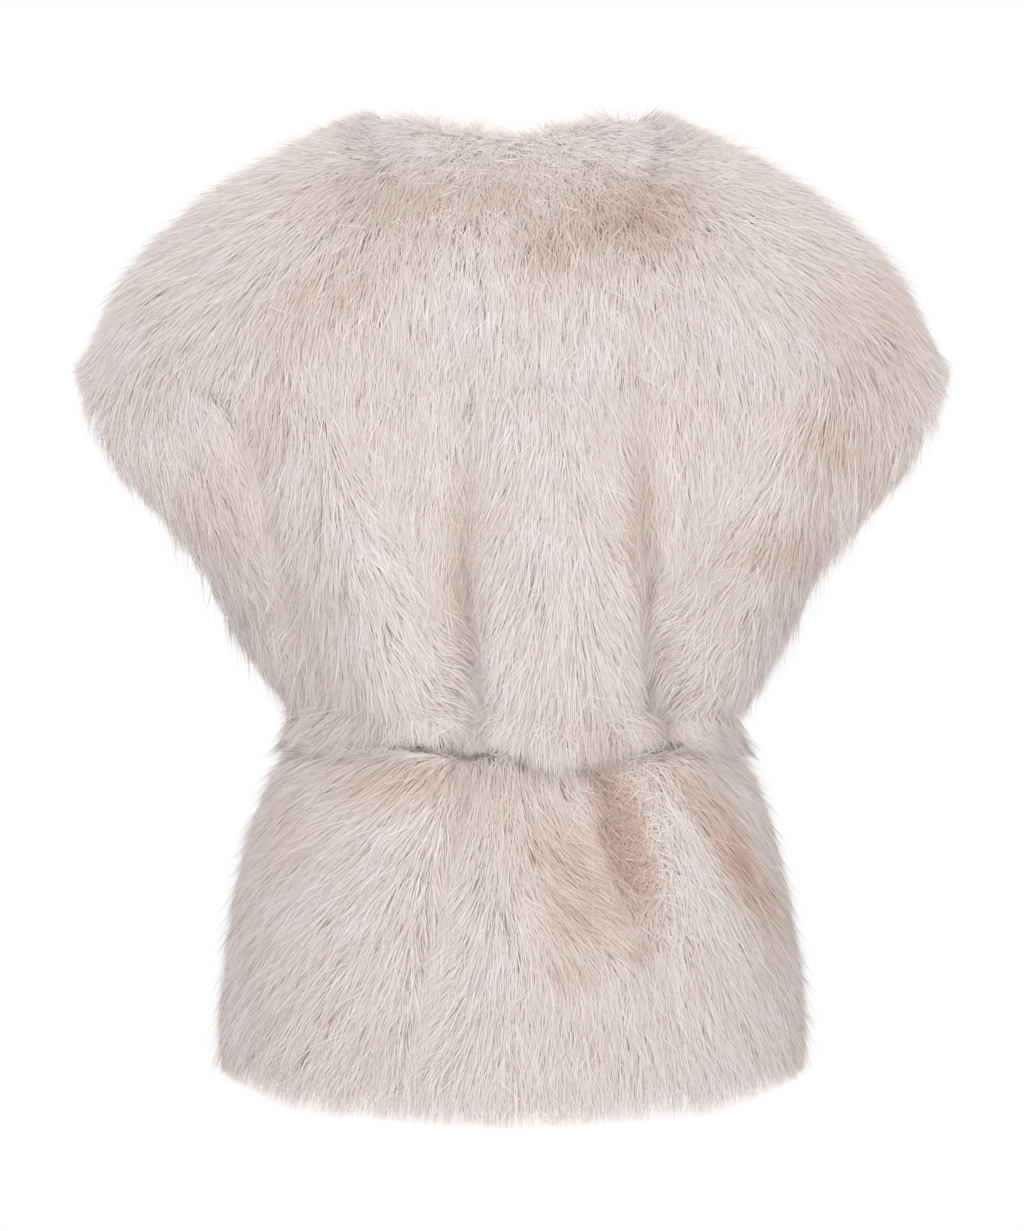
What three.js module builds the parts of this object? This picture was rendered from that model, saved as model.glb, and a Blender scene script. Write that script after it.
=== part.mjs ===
// Belted fur vest, worn: two fronts and a back of thick pile fur, held in by a narrow strap with a buckle.
// Millimetres, +Z up. The wearer faces -Y and the wearer's left is +X. The origin lies between the
// shoulders, level with the inside of the shoulder seams beside the neck, where the wearer holds the vest up.
//
// Each panel is a wall: its inside is the backing cloth and its outside is the reach of the pile.
// The backing follows a general figure by height, and the folds that the strap gathers move both sides.

import * as THREE from 'three';

const SEAM_GAP = 0.3;        // between neighbouring panels
const BACKING = 1.5;         // the backing's inside lies this far inside the figure's surface
const PILE = 24;             // how far the fur stands out from the backing
// The pile is this much shorter at the hem, over so many rows, and beside the side seams, from this share on.
const HEM_THINNING = { share: 0.12, rows: 2 };
const SIDE_THINNING = { share: 0.1, from: 0.9 };

// Half breadth of the backing at the side, and its depth behind and in front of the side seam, by height.
const FIGURE = [
  { z: -580, side: 167, back: 118, front: 103 },
  { z: -500, side: 161, back: 115, front: 103 },
  { z: -440, side: 150, back: 107, front: 98 },
  { z: -395, side: 136, back: 97, front: 93 },
  { z: -371, side: 120, back: 88, front: 88 },
  { z: -341, side: 120, back: 88, front: 88 },
  { z: -322, side: 132, back: 101, front: 98 },
  { z: -268, side: 166, back: 114, front: 115 },
  { z: -230, side: 190, back: 118, front: 124 },
  { z: -206, side: 211, back: 119, front: 126 },
  { z: -182, side: 237, back: 118, front: 127 },
  { z: -150, side: 252, back: 114, front: 120 },
];

// The backing's edge at the hem, which dips front and back, and the pile past it.
const HEM = { centreZ: -579, sideZ: -556, edge: 19 };
const UNDERARM_Z = -268;                               // where the side seam ends
// The armhole: its middle, its half width there, how far its edge turns out and how it widens upwards, and
// the pile past the edge, which grows from the underarm up.
const ARMHOLE = {
  middleX: 212, middleZ: -182, gap: 72, open: 0.12, rise: 1.25, lowEdge: 3, edge: 14, growth: 60,
};
const SHOULDER = { chestZ: -150, tipX: 262, tipZ: -132, topZ: 8, droop: 3.1, bunching: 1.08 };
const NECK = { halfWidth: 72, depth: 62, backZ: -6, edge: 7, pileRise: 5, riseHalf: 30, share: 0.3 };
const VEE = { z: -245, edge: 8 };                      // the foot of the front neckline

const WAIST_Z = -356;
const GATHER = { clear: 12, fade: 30 };      // the folds die away this near the strap
const FOLD_END = 26;         // and this far past their own ends

// Rows of the wall beside the strap: height on the backing, how far out the fur is and at what height.
// hang is the row's share of the overhang, cover how it moves out where fur covers the strap, and open how
// it moves up or down to clear the buckle.
const WAIST_ROWS = [
  { z: -385, out: 25, outZ: -383, hang: 0, cover: -8, open: -1 },
  { z: -376, out: 25, outZ: -370, hang: 0, cover: -10, open: -4 },
  { z: -371, out: 17, outZ: -362.5, hang: 0, cover: -6, open: -9 },
  { z: -369, out: 8.5, outZ: -367.4, hang: 0, cover: 0, open: -4 },
  { z: -367.5, out: 2.8, outZ: -367.8, hang: 0, cover: 0, open: -2.2 },
  { z: -344.5, out: 2.8, outZ: -344.2, hang: 0, cover: 0, open: 2.2 },
  { z: -343, out: 8.5, outZ: -344.6, hang: 0, cover: 0, open: 4 },
  { z: -341, out: 16, outZ: -350, hang: 1, cover: 10, open: 9 },
  { z: -337, out: 24, outZ: -346, hang: 0.8, cover: 8, open: 4 },
  { z: -328, out: 25, outZ: -334, hang: 0.4, cover: 4, open: 1 },
];
const HANG = { side: 6.5, front: -3, ridge: 17 };            // how far the fur hangs over the strap
const RIDGE_COVER = { x: -32, halfWidth: 44 };               // the middle ridge of the back, which covers it
const BUCKLE_BAY = { half: 22, end: 62, side: 100 };         // the fur stands clear of the strap here

// Folds by where their lines start and end, seen from behind (back) or in front (front).
// out is how far each end stands out, so a valley is negative, and w is half the fold's width there.
const BACK_FOLDS = [
  { name: 'left pleat', x1: 32, z1: -95, x2: 25, z2: -340, out1: -3, out2: -27, w1: 9, w2: 9 },
  { name: 'left pleat flank', x1: 72, z1: -140, x2: 30, z2: -340, out1: -3, out2: -9, w1: 34, w2: 14 },
  { name: 'right pleat', x1: -78, z1: -105, x2: -86, z2: -340, out1: -3, out2: -25, w1: 9, w2: 9 },
  { name: 'right pleat flank', x1: -122, z1: -140, x2: -91, z2: -340, out1: -3, out2: -9, w1: 34, w2: 14 },
  { name: 'middle ridge', x1: -26, z1: -80, x2: -31, z2: -345, out1: 2, out2: 12, w1: 34, w2: 33 },
  { name: 'left ridge', x1: 120, z1: -150, x2: 58, z2: -345, out1: 5, out2: 10, w1: 24, w2: 18 },
  { name: 'left side valley', x1: 160, z1: -165, x2: 104, z2: -335, out1: -4, out2: -9, w1: 14, w2: 11 },
  { name: 'right ridge', x1: -178, z1: -145, x2: -116, z2: -345, out1: 5, out2: 9, w1: 24, w2: 16 },
  { name: 'right side valley', x1: -190, z1: -235, x2: -138, z2: -335, out1: -2, out2: -7, w1: 14, w2: 10 },
  { name: 'left tail valley', x1: 28, z1: -372, x2: 36, z2: -530, out1: -12, out2: -2, w1: 8, w2: 20 },
  { name: 'middle tail ridge', x1: 6, z1: -378, x2: -16, z2: -505, out1: 8, out2: 6, w1: 17, w2: 24 },
  { name: 'matted valley', x1: -57, z1: -378, x2: -84, z2: -490, out1: -15, out2: -8, w1: 13, w2: 15 },
  { name: 'right tail ridge', x1: -94, z1: -378, x2: -135, z2: -510, out1: 7, out2: 3, w1: 16, w2: 26 },
  { name: 'right tail valley', x1: -112, z1: -376, x2: -178, z2: -505, out1: -5, out2: -8, w1: 9, w2: 13 },
  { name: 'left tail ridge', x1: 56, z1: -378, x2: 112, z2: -530, out1: 6, out2: 3, w1: 20, w2: 34 },
];
// One front, by distance from the middle: both fronts gather alike.
const FRONT_FOLDS = [
  { name: 'inner pleat', x1: 84, z1: -165, x2: 48, z2: -340, out1: -3, out2: -17, w1: 13, w2: 9 },
  { name: 'bust ridge', x1: 112, z1: -150, x2: 70, z2: -345, out1: 4, out2: 9, w1: 26, w2: 14 },
  { name: 'outer pleat', x1: 158, z1: -190, x2: 92, z2: -338, out1: -3, out2: -12, w1: 15, w2: 9 },
  { name: 'inner tail valley', x1: 46, z1: -376, x2: 66, z2: -520, out1: -11, out2: -2, w1: 9, w2: 18 },
  { name: 'tail ridge', x1: 70, z1: -378, x2: 104, z2: -530, out1: 6, out2: 3, w1: 16, w2: 28 },
  { name: 'outer tail valley', x1: 96, z1: -377, x2: 140, z2: -510, out1: -8, out2: -3, w1: 9, w2: 16 },
];
const INNER_SHARE = 0.6;     // how much of a fold the backing takes
const SEAM_FADE = 0.14;      // the folds die away over this share of a panel beside a side seam

// Lines that the columns of each panel's grid follow, by height: the back's two pleats, and a front's two.
const BACK_LINES = [
  { z: -580, left: 38, right: -90 },
  { z: -500, left: 35, right: -84 },
  { z: -420, left: 30, right: -73 },
  { z: -371, left: 27, right: -76 },
  { z: -341, left: 25, right: -86 },
  { z: -220, left: 28, right: -82 },
  { z: -150, left: 31, right: -78 },
];
const FRONT_LINES = [
  { z: -580, inner: 74, outer: 152 },
  { z: -500, inner: 63, outer: 137 },
  { z: -376, inner: 46, outer: 96 },
  { z: -341, inner: 48, outer: 92 },
  { z: -230, inner: 68, outer: 135 },
  { z: -150, inner: 86, outer: 166 },
];
const LINE_SHARES = { back: [0.385, 0.654], front: [0.364, 0.636] };   // where they lie among the columns
const COLUMN_EASE = 0.4;     // how much closer the columns stand beside the lines

// Cells of each panel's grid: across, then rows from the hem, from the strap to the underarm, up to the
// chest and over.
const BACK_CELLS = 52;
const FRONT_CELLS = 22;
const TAIL_ROWS = 12;
const BODICE_ROWS = 5;
const ARMHOLE_ROWS = 8;
const DOME_ROWS = 8;
const DOME_TURN = Math.PI / 2;

// The strap: its inside, off the backing, and how much further off and over what half width at the front; its
// section; and its free end, which tapers over the last steps to this share of its height.
const STRAP = {
  inside: 3.4, frontLift: 2.2, frontHalf: 0.4, thickness: 2.4, height: 18, chamfer: 0.5,
  overlap: 84, layerGap: 0.4, steps: 96, taperSteps: 4, tipShare: 0.5,
};
const STEP_UP = { before: 0.78, over: 0.45 };      // where it rises before the overlap, and over what turn
const BUCKLE = { width: 29, height: 25, wire: 3, thickness: 2.4, corner: 5 };
const PRONG = { width: 2.6, thickness: 1.8, heel: -8, tip: 15.5 };
const KEEPER = { width: 9, wall: 1.2, x: -38, corner: 1.6, innerCorner: 0.5 };
const FIT = 0.3;             // between the strap and the loop and prong on it
const BAR_FIT = 0.7;         // between the strap and the middle of a bar, which lies askew on it

const COLOURS = { fur: 0xdccfc9, strap: 0x1d1a1a, metal: 0xb9b4ab };


const clamp01 = (t) => Math.min(1, Math.max(0, t));
const mix = (a, b, t) => a + (b - a) * t;
const smooth = (t) => { const s = clamp01(t); return s * s * (3 - 2 * s); };
const bell = (t) => Math.exp(-t * t);

// A column of a table at a height, smooth and without overshoot.
function along(table, z, column) {
  const last = table.length - 1;
  if (z <= table[0].z) return table[0][column];
  if (z >= table[last].z) return table[last][column];
  const rise = (i) => (table[i + 1][column] - table[i][column]) / (table[i + 1].z - table[i].z);
  const slope = (i) => {
    if (i === 0) return rise(0);
    if (i === last) return rise(last - 1);
    const [a, b] = [rise(i - 1), rise(i)];
    return a * b <= 0 ? 0 : (2 * a * b) / (a + b);
  };
  let k = 0;
  while (z > table[k + 1].z) k += 1;
  const h = table[k + 1].z - table[k].z;
  const t = (z - table[k].z) / h;
  const [p0, p1] = [table[k][column], table[k + 1][column]];
  return (2 * t ** 3 - 3 * t ** 2 + 1) * p0 + (t ** 3 - 2 * t ** 2 + t) * h * slope(k)
    + (3 * t ** 2 - 2 * t ** 3) * p1 + (t ** 3 - t ** 2) * h * slope(k + 1);
}
const figureAt = (z, column) => along(FIGURE, z, column);

// The wall's rows from the hem to the shoulder seam. middleZ and sideZ are heights on the backing at the
// middle and at the side, gap is how far the side edge stands off the seam plane, spread falls below 1 where
// that edge turns out, and turn goes from 0 to a quarter turn as the wall curves over to the shoulder seam.
function wallRows() {
  const rows = [];
  const lowest = WAIST_ROWS[0].z;
  for (let i = 0; i < TAIL_ROWS; i += 1) {
    const t = i / TAIL_ROWS;
    const [middleZ, sideZ] = [mix(HEM.centreZ, lowest, t), mix(HEM.sideZ, lowest, t)];
    rows.push({ middleZ, sideZ, gap: 0, spread: 1, turn: 0 });
  }
  for (const waist of WAIST_ROWS) {
    rows.push({ middleZ: waist.z, sideZ: waist.z, gap: 0, spread: 1, turn: 0, waist });
  }
  const highest = WAIST_ROWS[WAIST_ROWS.length - 1].z;
  for (let i = 1; i <= BODICE_ROWS; i += 1) {
    const z = mix(highest, UNDERARM_Z, i / BODICE_ROWS);
    rows.push({ middleZ: z, sideZ: z, gap: 0, spread: 1, turn: 0 });
  }
  for (let i = 1; i <= ARMHOLE_ROWS; i += 1) {
    const t = i / ARMHOLE_ROWS;
    rows.push({
      middleZ: mix(UNDERARM_Z, SHOULDER.chestZ, t),
      sideZ: mix(UNDERARM_Z, ARMHOLE.middleZ, t ** ARMHOLE.rise),
      gap: ARMHOLE.gap * Math.sin((Math.PI / 2) * t) ** ARMHOLE.rise,
      spread: 1 - ARMHOLE.open * smooth(t),
      turn: 0,
    });
  }
  const crest = rows[rows.length - 1];
  for (let i = 1; i <= DOME_ROWS; i += 1) rows.push({ ...crest, turn: DOME_TURN * (i / DOME_ROWS) });
  return rows;
}

// How far the front neckline stands off the middle at a height.
const veeAt = (z) => {
  const neckSideZ = SHOULDER.topZ - shoulderDrop(NECK.halfWidth);
  return NECK.halfWidth * clamp01((z - VEE.z) / (neckSideZ - VEE.z));
};

// The shoulder seam falls away from the neck by this much at x.
function shoulderDrop(x) {
  return (SHOULDER.topZ - SHOULDER.tipZ) * (x / SHOULDER.tipX) ** SHOULDER.droop;
}

// The top edge of a panel: round the back of the neck for a share of it, then out along the shoulder seam.
function topEdge(u, share) {
  const neckSideZ = SHOULDER.topZ - shoulderDrop(NECK.halfWidth);
  if (u < share) {
    const angle = (Math.PI / 2) * Math.sin((Math.PI / 2) * (u / share));
    return {
      x: NECK.halfWidth * Math.sin(angle),
      y: NECK.depth * Math.cos(angle),
      z: mix(NECK.backZ, neckSideZ, Math.sin(angle) ** 2),
    };
  }
  const x = mix(NECK.halfWidth, SHOULDER.tipX, ((u - share) / (1 - share)) ** SHOULDER.bunching);
  return { x, y: 0, z: SHOULDER.topZ - shoulderDrop(x) };
}

// How far out a row is at an angle, and the angle at which it is that far out.
const quarter = (row) => Math.sin((Math.PI / 2) * row.spread);
const outAt = (row, angle) => (figureAt(row.sideZ, 'side') * Math.sin(angle * row.spread)) / quarter(row);
const angleAt = (row, x) => Math.asin((x * quarter(row)) / figureAt(row.sideZ, 'side')) / row.spread;

// Where a column stands in a row, as an angle round the figure: 0 is the middle of the panel's own side of
// the wearer, and a quarter turn is the side seam.
function columnAngle(t, row, isBack) {
  const lineAngle = (table, name) => angleAt(row, along(table, row.middleZ, name));
  const stops = isBack
    ? [-Math.PI / 2, lineAngle(BACK_LINES, 'right'), lineAngle(BACK_LINES, 'left'), Math.PI / 2]
    : [angleAt(row, veeAt(row.middleZ)), lineAngle(FRONT_LINES, 'inner'), lineAngle(FRONT_LINES, 'outer'),
      Math.PI / 2];
  const shares = [0, ...(isBack ? LINE_SHARES.back : LINE_SHARES.front), 1];
  const k = t < shares[1] ? 0 : t < shares[2] ? 1 : 2;
  const s = (t - shares[k]) / (shares[k + 1] - shares[k]);
  return mix(stops[k], stops[k + 1], s - (COLUMN_EASE * Math.sin(2 * Math.PI * s)) / (2 * Math.PI));
}

// A point of the backing for +X and +Y, at an angle round the figure. On the turn over to the top edge it
// heads for the place u along that edge. The caller mirrors it.
function backingPoint(row, angle, u, share, isBack) {
  const depth = figureAt(row.middleZ, isBack ? 'back' : 'front');
  const low = {
    x: outAt(row, angle),
    y: row.gap + (depth - row.gap) * Math.cos(angle),
    z: mix(row.middleZ, row.sideZ, Math.sin(angle) ** 2),
  };
  if (row.turn === 0) return new THREE.Vector3(low.x, low.y, low.z);
  const top = topEdge(u, share);
  const up = Math.sin(row.turn);
  const over = Math.cos(row.turn);
  return new THREE.Vector3(mix(low.x, top.x, up), mix(top.y, low.y, over), mix(low.z, top.z, up));
}

// The sum of a table's folds at a place seen from behind or in front.
function foldHeight(folds, x, z) {
  let out = 0;
  for (const f of folds) {
    const t = (z - f.z1) / (f.z2 - f.z1);
    const s = clamp01(t);
    const half = mix(f.w1, f.w2, s);
    const past = Math.abs(t - s) * Math.abs(f.z2 - f.z1);
    out += mix(f.out1, f.out2, s) * bell((x - mix(f.x1, f.x2, s)) / half) * bell(past / FOLD_END);
  }
  return out * smooth((Math.abs(z - WAIST_Z) - GATHER.clear) / GATHER.fade);
}

// How far the wall stands clear of the buckle, from 0 to 1.
const bayAt = (x, isBack) => {
  const inside = (BUCKLE_BAY.end - Math.abs(x)) / (BUCKLE_BAY.end - BUCKLE_BAY.half);
  return isBack ? 0 : smooth(inside);
};

// How much of the strap the middle ridge of the back covers, from 0 to 1.
const coverAt = (x, isBack) => (isBack ? bell((x - RIDGE_COVER.x) / RIDGE_COVER.halfWidth) : 0);

// A panel of the vest as one closed wall. side is 0 for the whole back, 1 for the wearer's left front and
// -1 for the right front. Outer points are on the full grid, and inner ones on every second line of it.
function panelWall(side) {
  const isBack = side === 0;
  const rows = wallRows();
  const n = rows.length - 1;
  const m = isBack ? BACK_CELLS : FRONT_CELLS;
  const facing = isBack ? 1 : -1;

  // Each column's side of the wearer, its angle in a row, and its place from the middle (0) to the side (1).
  const mirrorOf = (i) => (isBack ? Math.sign(columnAngle(i / m, rows[n], true)) || 1 : side);
  const place = (i, j) => {
    const row = rows[j];
    const angle = columnAngle(i / m, row, isBack);
    const start = isBack ? 0 : columnAngle(0, row, false);
    return { row, angle: Math.abs(angle), u: (Math.abs(angle) - start) / (Math.PI / 2 - start) };
  };
  // The neck's corner is on the column that comes nearest to it, on each side.
  const shareOf = (mirror) => {
    if (!isBack) return 0;
    let nearest = 1;
    for (let i = 0; i <= m; i += 2) {
      const { u } = place(i, n);
      if (mirrorOf(i) === mirror && Math.abs(u - NECK.share) < Math.abs(nearest - NECK.share)) nearest = u;
    }
    return nearest;
  };
  const neckShares = { left: shareOf(1), right: shareOf(-1) };
  const shareAt = (i) => (mirrorOf(i) > 0 ? neckShares.left : neckShares.right);
  const points = [];
  for (let i = 0; i <= m; i += 1) {
    points.push([]);
    const mirror = mirrorOf(i);
    for (let j = 0; j <= n; j += 1) {
      const { row, angle, u } = place(i, j);
      const p = backingPoint(row, angle, u, shareAt(i), isBack);
      p.x = mirror * Math.max(p.x, !isBack && i === 0 ? SEAM_GAP : 0);
      p.y = facing * Math.max(p.y, SEAM_GAP / 2);
      points[i].push(p);
    }
  }
  const isSide = (i) => i === m || (isBack && i === 0);
  const outwards = (i, j) => {
    const across = points[Math.min(i + 1, m)][j].clone().sub(points[Math.max(i - 1, 0)][j]);
    const upwards = points[i][Math.min(j + 1, n)].clone().sub(points[i][Math.max(j - 1, 0)]);
    const normal = across.cross(upwards);
    const { u, row } = place(i, j);
    if (isSide(i) && row.gap === 0) normal.y = 0;
    if (j === n && u >= shareAt(i)) normal.y = 0;
    if (!isBack && i === 0 && veeAt(row.middleZ) === 0) normal.x = 0;
    const p = points[i][j];
    const away = new THREE.Vector3(p.x, p.y, Math.max(0, p.z - SHOULDER.chestZ) + 1);
    if (normal.dot(away) < 0) normal.negate();
    return normal.normalize();
  };
  const folds = isBack ? BACK_FOLDS : FRONT_FOLDS;
  const foldAt = (i, j) => {
    const { u } = place(i, j);
    const p = points[i][j];
    const x = isBack ? p.x : Math.abs(p.x);
    const beside = smooth((1 - u) / SEAM_FADE) * (isBack ? 1 : smooth(u / SEAM_FADE));
    return foldHeight(folds, x, p.z) * beside;
  };
  const pileAt = (i, j) => {
    const { u, row } = place(i, j);
    const fromCorner = (Math.abs(points[i][j].x) - NECK.halfWidth) / NECK.riseHalf;
    const neck = bell(fromCorner) * smooth(row.turn / DOME_TURN);
    const hem = 1 - HEM_THINNING.share * bell(j / HEM_THINNING.rows);
    const atSide = smooth((u - SIDE_THINNING.from) / (1 - SIDE_THINNING.from));
    return PILE * hem * (1 - SIDE_THINNING.share * atSide) + NECK.pileRise * neck;
  };
  const outer = (i, j) => {
    const { row } = place(i, j);
    const normal = outwards(i, j);
    const p = points[i][j].clone();
    if (!row.waist) return p.addScaledVector(normal, pileAt(i, j) + foldAt(i, j));
    const { out, outZ, hang, cover, open } = row.waist;
    const covered = coverAt(p.x, isBack);
    const round = new THREE.Vector3(normal.x, normal.y, 0).normalize();
    const free = isBack ? HANG.side : mix(HANG.front, HANG.side, smooth(Math.abs(p.x) / BUCKLE_BAY.side));
    const drop = mix(free, HANG.ridge, covered);
    const deep = out > PILE / 2 ? foldAt(i, j) * (out / PILE) : 0;
    p.addScaledVector(round, out + cover * covered + deep);
    p.z = outZ - hang * drop + open * bayAt(p.x, isBack);
    return p;
  };
  const inner = (i, j) => points[i][j].clone()
    .addScaledVector(outwards(i, j), INNER_SHARE * foldAt(i, j) - BACKING);

  // The edge's way out past the backing, and how far the pile reaches there.
  const edgeAt = (i, j) => {
    const { u, row } = place(i, j);
    const p = points[i][j];
    const none = { reach: 0, way: new THREE.Vector3() };
    if (j === 0) return { reach: HEM.edge, way: new THREE.Vector3(0, 0, -1) };
    if (j === n && u < shareAt(i)) {
      const way = new THREE.Vector3(-p.x, -p.y, 0).normalize();
      return { reach: NECK.edge * Math.cos((Math.PI / 2) * (u / shareAt(i))) ** 0.5, way };
    }
    if (j === n && (isBack || i > 0) && !isSide(i)) return none;
    if (isSide(i) && row.gap > 0) {
      const way = new THREE.Vector3(Math.sign(p.x) * ARMHOLE.middleX, 0, ARMHOLE.middleZ).sub(p).setLength(1);
      if (j === n) way.setY(0).normalize();
      const grown = smooth((p.z - UNDERARM_Z) / ARMHOLE.growth);
      return { reach: mix(ARMHOLE.lowEdge, ARMHOLE.edge, grown), way };
    }
    if (!isBack && i === 0 && veeAt(row.middleZ) > 0) {
      const reach = Math.min(VEE.edge, 0.5 * veeAt(row.middleZ));
      return { reach, way: new THREE.Vector3(-Math.sign(p.x), 0, 0) };
    }
    return none;
  };
  const lip = (i, j, height, share) => {
    const start = inner(i, j);
    const end = outer(i, j);
    const { reach, way } = edgeAt(i, j);
    return start.lerp(end, height).addScaledVector(way, reach * share);
  };
  return stitchWall(m, n, outer, inner, lip);
}

// The two rings round a wall's border, by their height between its faces and their share of the pile's reach.
const LIPS = { high: { height: 0.8, share: 0.75 }, low: { height: 0.35, share: 1 } };

// Outer grid, two lips round its border, and an inner grid of half the lines, sewn into one closed mesh.
function stitchWall(m, n, outer, inner, lip) {
  const positions = [];
  const faces = [];
  const put = (p) => positions.push(p.x, p.y, p.z) / 3 - 1;
  const outerId = [];
  for (let i = 0; i <= m; i += 1) {
    outerId.push([]);
    for (let j = 0; j <= n; j += 1) outerId[i].push(put(outer(i, j)));
  }
  const innerId = [];
  for (let i = 0; i <= m / 2; i += 1) {
    innerId.push([]);
    for (let j = 0; j <= n / 2; j += 1) innerId[i].push(put(inner(2 * i, 2 * j)));
  }
  const quad = (a, b, c, d) => faces.push([a, b, c], [a, c, d]);
  const grid = (ids, cellsX, cellsY, inwards) => {
    for (let i = 0; i < cellsX; i += 1) {
      for (let j = 0; j < cellsY; j += 1) {
        const [a, b, c, d] = [ids[i][j], ids[i + 1][j], ids[i + 1][j + 1], ids[i][j + 1]];
        if (inwards) quad(a, d, c, b);
        else quad(a, b, c, d);
      }
    }
  };
  grid(outerId, m, n, false);
  grid(innerId, m / 2, n / 2, true);

  const border = [];
  for (let i = 0; i < m; i += 1) border.push([i, 0]);
  for (let j = 0; j < n; j += 1) border.push([m, j]);
  for (let i = m; i > 0; i -= 1) border.push([i, n]);
  for (let j = n; j > 0; j -= 1) border.push([0, j]);
  const count = border.length;
  const ring = ({ height, share }) => border.map(([i, j]) => put(lip(i, j, height, share)));
  const highLip = ring(LIPS.high);
  const lowLip = ring(LIPS.low);
  for (let k = 0; k < count; k += 1) {
    const next = (k + 1) % count;
    const [a, b] = [border[k], border[next]];
    quad(outerId[b[0]][b[1]], outerId[a[0]][a[1]], highLip[k], highLip[next]);
    quad(highLip[next], highLip[k], lowLip[k], lowLip[next]);
  }
  for (let k = 0; k < count; k += 2) {
    const [one, two] = [(k + 1) % count, (k + 2) % count];
    const inA = innerId[border[k][0] / 2][border[k][1] / 2];
    const inB = innerId[border[two][0] / 2][border[two][1] / 2];
    faces.push([lowLip[one], lowLip[k], inA], [lowLip[one], inA, inB], [lowLip[two], lowLip[one], inB]);
  }
  return closedGeometry(positions, faces);
}

// A geometry from points and faces, turned so that its faces point out.
function closedGeometry(positions, faces) {
  const corner = (k) => new THREE.Vector3().fromArray(positions, 3 * k);
  let volume = 0;
  for (const [a, b, c] of faces) volume += corner(a).dot(corner(b).cross(corner(c)));
  const index = faces.flatMap(([a, b, c]) => (volume > 0 ? [a, b, c] : [a, c, b]));
  const geometry = new THREE.BufferGeometry();
  geometry.setAttribute('position', new THREE.Float32BufferAttribute(positions, 3));
  geometry.setIndex(index);
  geometry.computeVertexNormals();
  return geometry;
}

// A point on the oval that stands a distance off the backing at the waist. angle 0 is the middle of the
// front, and it grows towards the wearer's left.
function waistPoint(angle, off) {
  const half = figureAt(WAIST_Z, 'side');
  const depth = figureAt(WAIST_Z, 'front');
  const x = half * Math.sin(angle);
  const y = -depth * Math.cos(angle);
  const normal = new THREE.Vector3(x / half ** 2, y / depth ** 2, 0).normalize();
  return new THREE.Vector3(x, y, WAIST_Z).addScaledVector(normal, off);
}

const angleAtX = (x) => Math.asin(x / figureAt(WAIST_Z, 'side'));
const LAYER = STRAP.thickness + STRAP.layerGap;
const BAR_X = BUCKLE.width / 2 - BUCKLE.wire / 2;            // the buckle's two upright bars

// How far the inside of the strap stands off the backing in its first layer, more where the fittings are.
const strapInside = (angle) => STRAP.inside + STRAP.frontLift * bell(Math.sin(angle / 2) / STRAP.frontHalf);

// The strap starts behind the buckle's first bar, goes once round the wearer's right, back and left, passes
// under the buckle's second bar and lies over its own start.
function strap() {
  const start = angleAtX(-BAR_X - BUCKLE.wire / 2 - FIT);
  const half = STRAP.height / 2;
  const length = 2 * Math.PI + STRAP.overlap / figureAt(WAIST_Z, 'side');
  const { chamfer } = STRAP;
  const positions = [];
  const faces = [];
  for (let k = 0; k <= STRAP.steps; k += 1) {
    const turned = length * (k / STRAP.steps);
    const angle = start - turned;
    const risen = smooth((turned - (2 * Math.PI - STEP_UP.before)) / STEP_UP.over);
    const inside = strapInside(angle) + LAYER * risen;
    const outside = inside + STRAP.thickness;
    const left = Math.min(1, (STRAP.steps - k) / STRAP.taperSteps);
    const top = half * mix(STRAP.tipShare, 1, Math.sqrt(left * (2 - left)));
    const section = [
      [inside, -top + chamfer], [inside, top - chamfer],
      [inside + chamfer, top], [outside - chamfer, top],
      [outside, top - chamfer], [outside, -top + chamfer],
      [outside - chamfer, -top], [inside + chamfer, -top],
    ];
    for (const [off, z] of section) {
      const p = waistPoint(angle, off);
      positions.push(p.x, p.y, p.z + z);
    }
  }
  const around = positions.length / 3 / (STRAP.steps + 1);
  for (let k = 0; k < STRAP.steps; k += 1) {
    for (let s = 0; s < around; s += 1) {
      const [a, b] = [k * around + s, k * around + ((s + 1) % around)];
      faces.push([a, b, b + around], [a, b + around, a + around]);
    }
  }
  const lastRing = STRAP.steps * around;
  for (let s = 1; s < around - 1; s += 1) {
    faces.push([0, s + 1, s], [lastRing, lastRing + s, lastRing + s + 1]);
  }
  return closedGeometry(positions, faces);
}

function roundedRectangle(path, width, height, corner) {
  const [w, h] = [width / 2, height / 2];
  path.moveTo(-w + corner, -h);
  path.lineTo(w - corner, -h);
  path.absarc(w - corner, -h + corner, corner, -Math.PI / 2, 0, false);
  path.lineTo(w, h - corner);
  path.absarc(w - corner, h - corner, corner, 0, Math.PI / 2, false);
  path.lineTo(-w + corner, h);
  path.absarc(-w + corner, h - corner, corner, Math.PI / 2, Math.PI, false);
  path.lineTo(-w, -h + corner);
  path.absarc(-w + corner, -h + corner, corner, Math.PI, 1.5 * Math.PI, false);
  return path;
}

// An outline in x and z made a plate, with its thickness along y and its middle at y = 0.
function plate(shape, thickness) {
  const options = { depth: thickness, bevelEnabled: false, curveSegments: 4 };
  const geometry = new THREE.ExtrudeGeometry(shape, options);
  return geometry.translate(0, 0, -thickness / 2).rotateX(Math.PI / 2);
}

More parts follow.
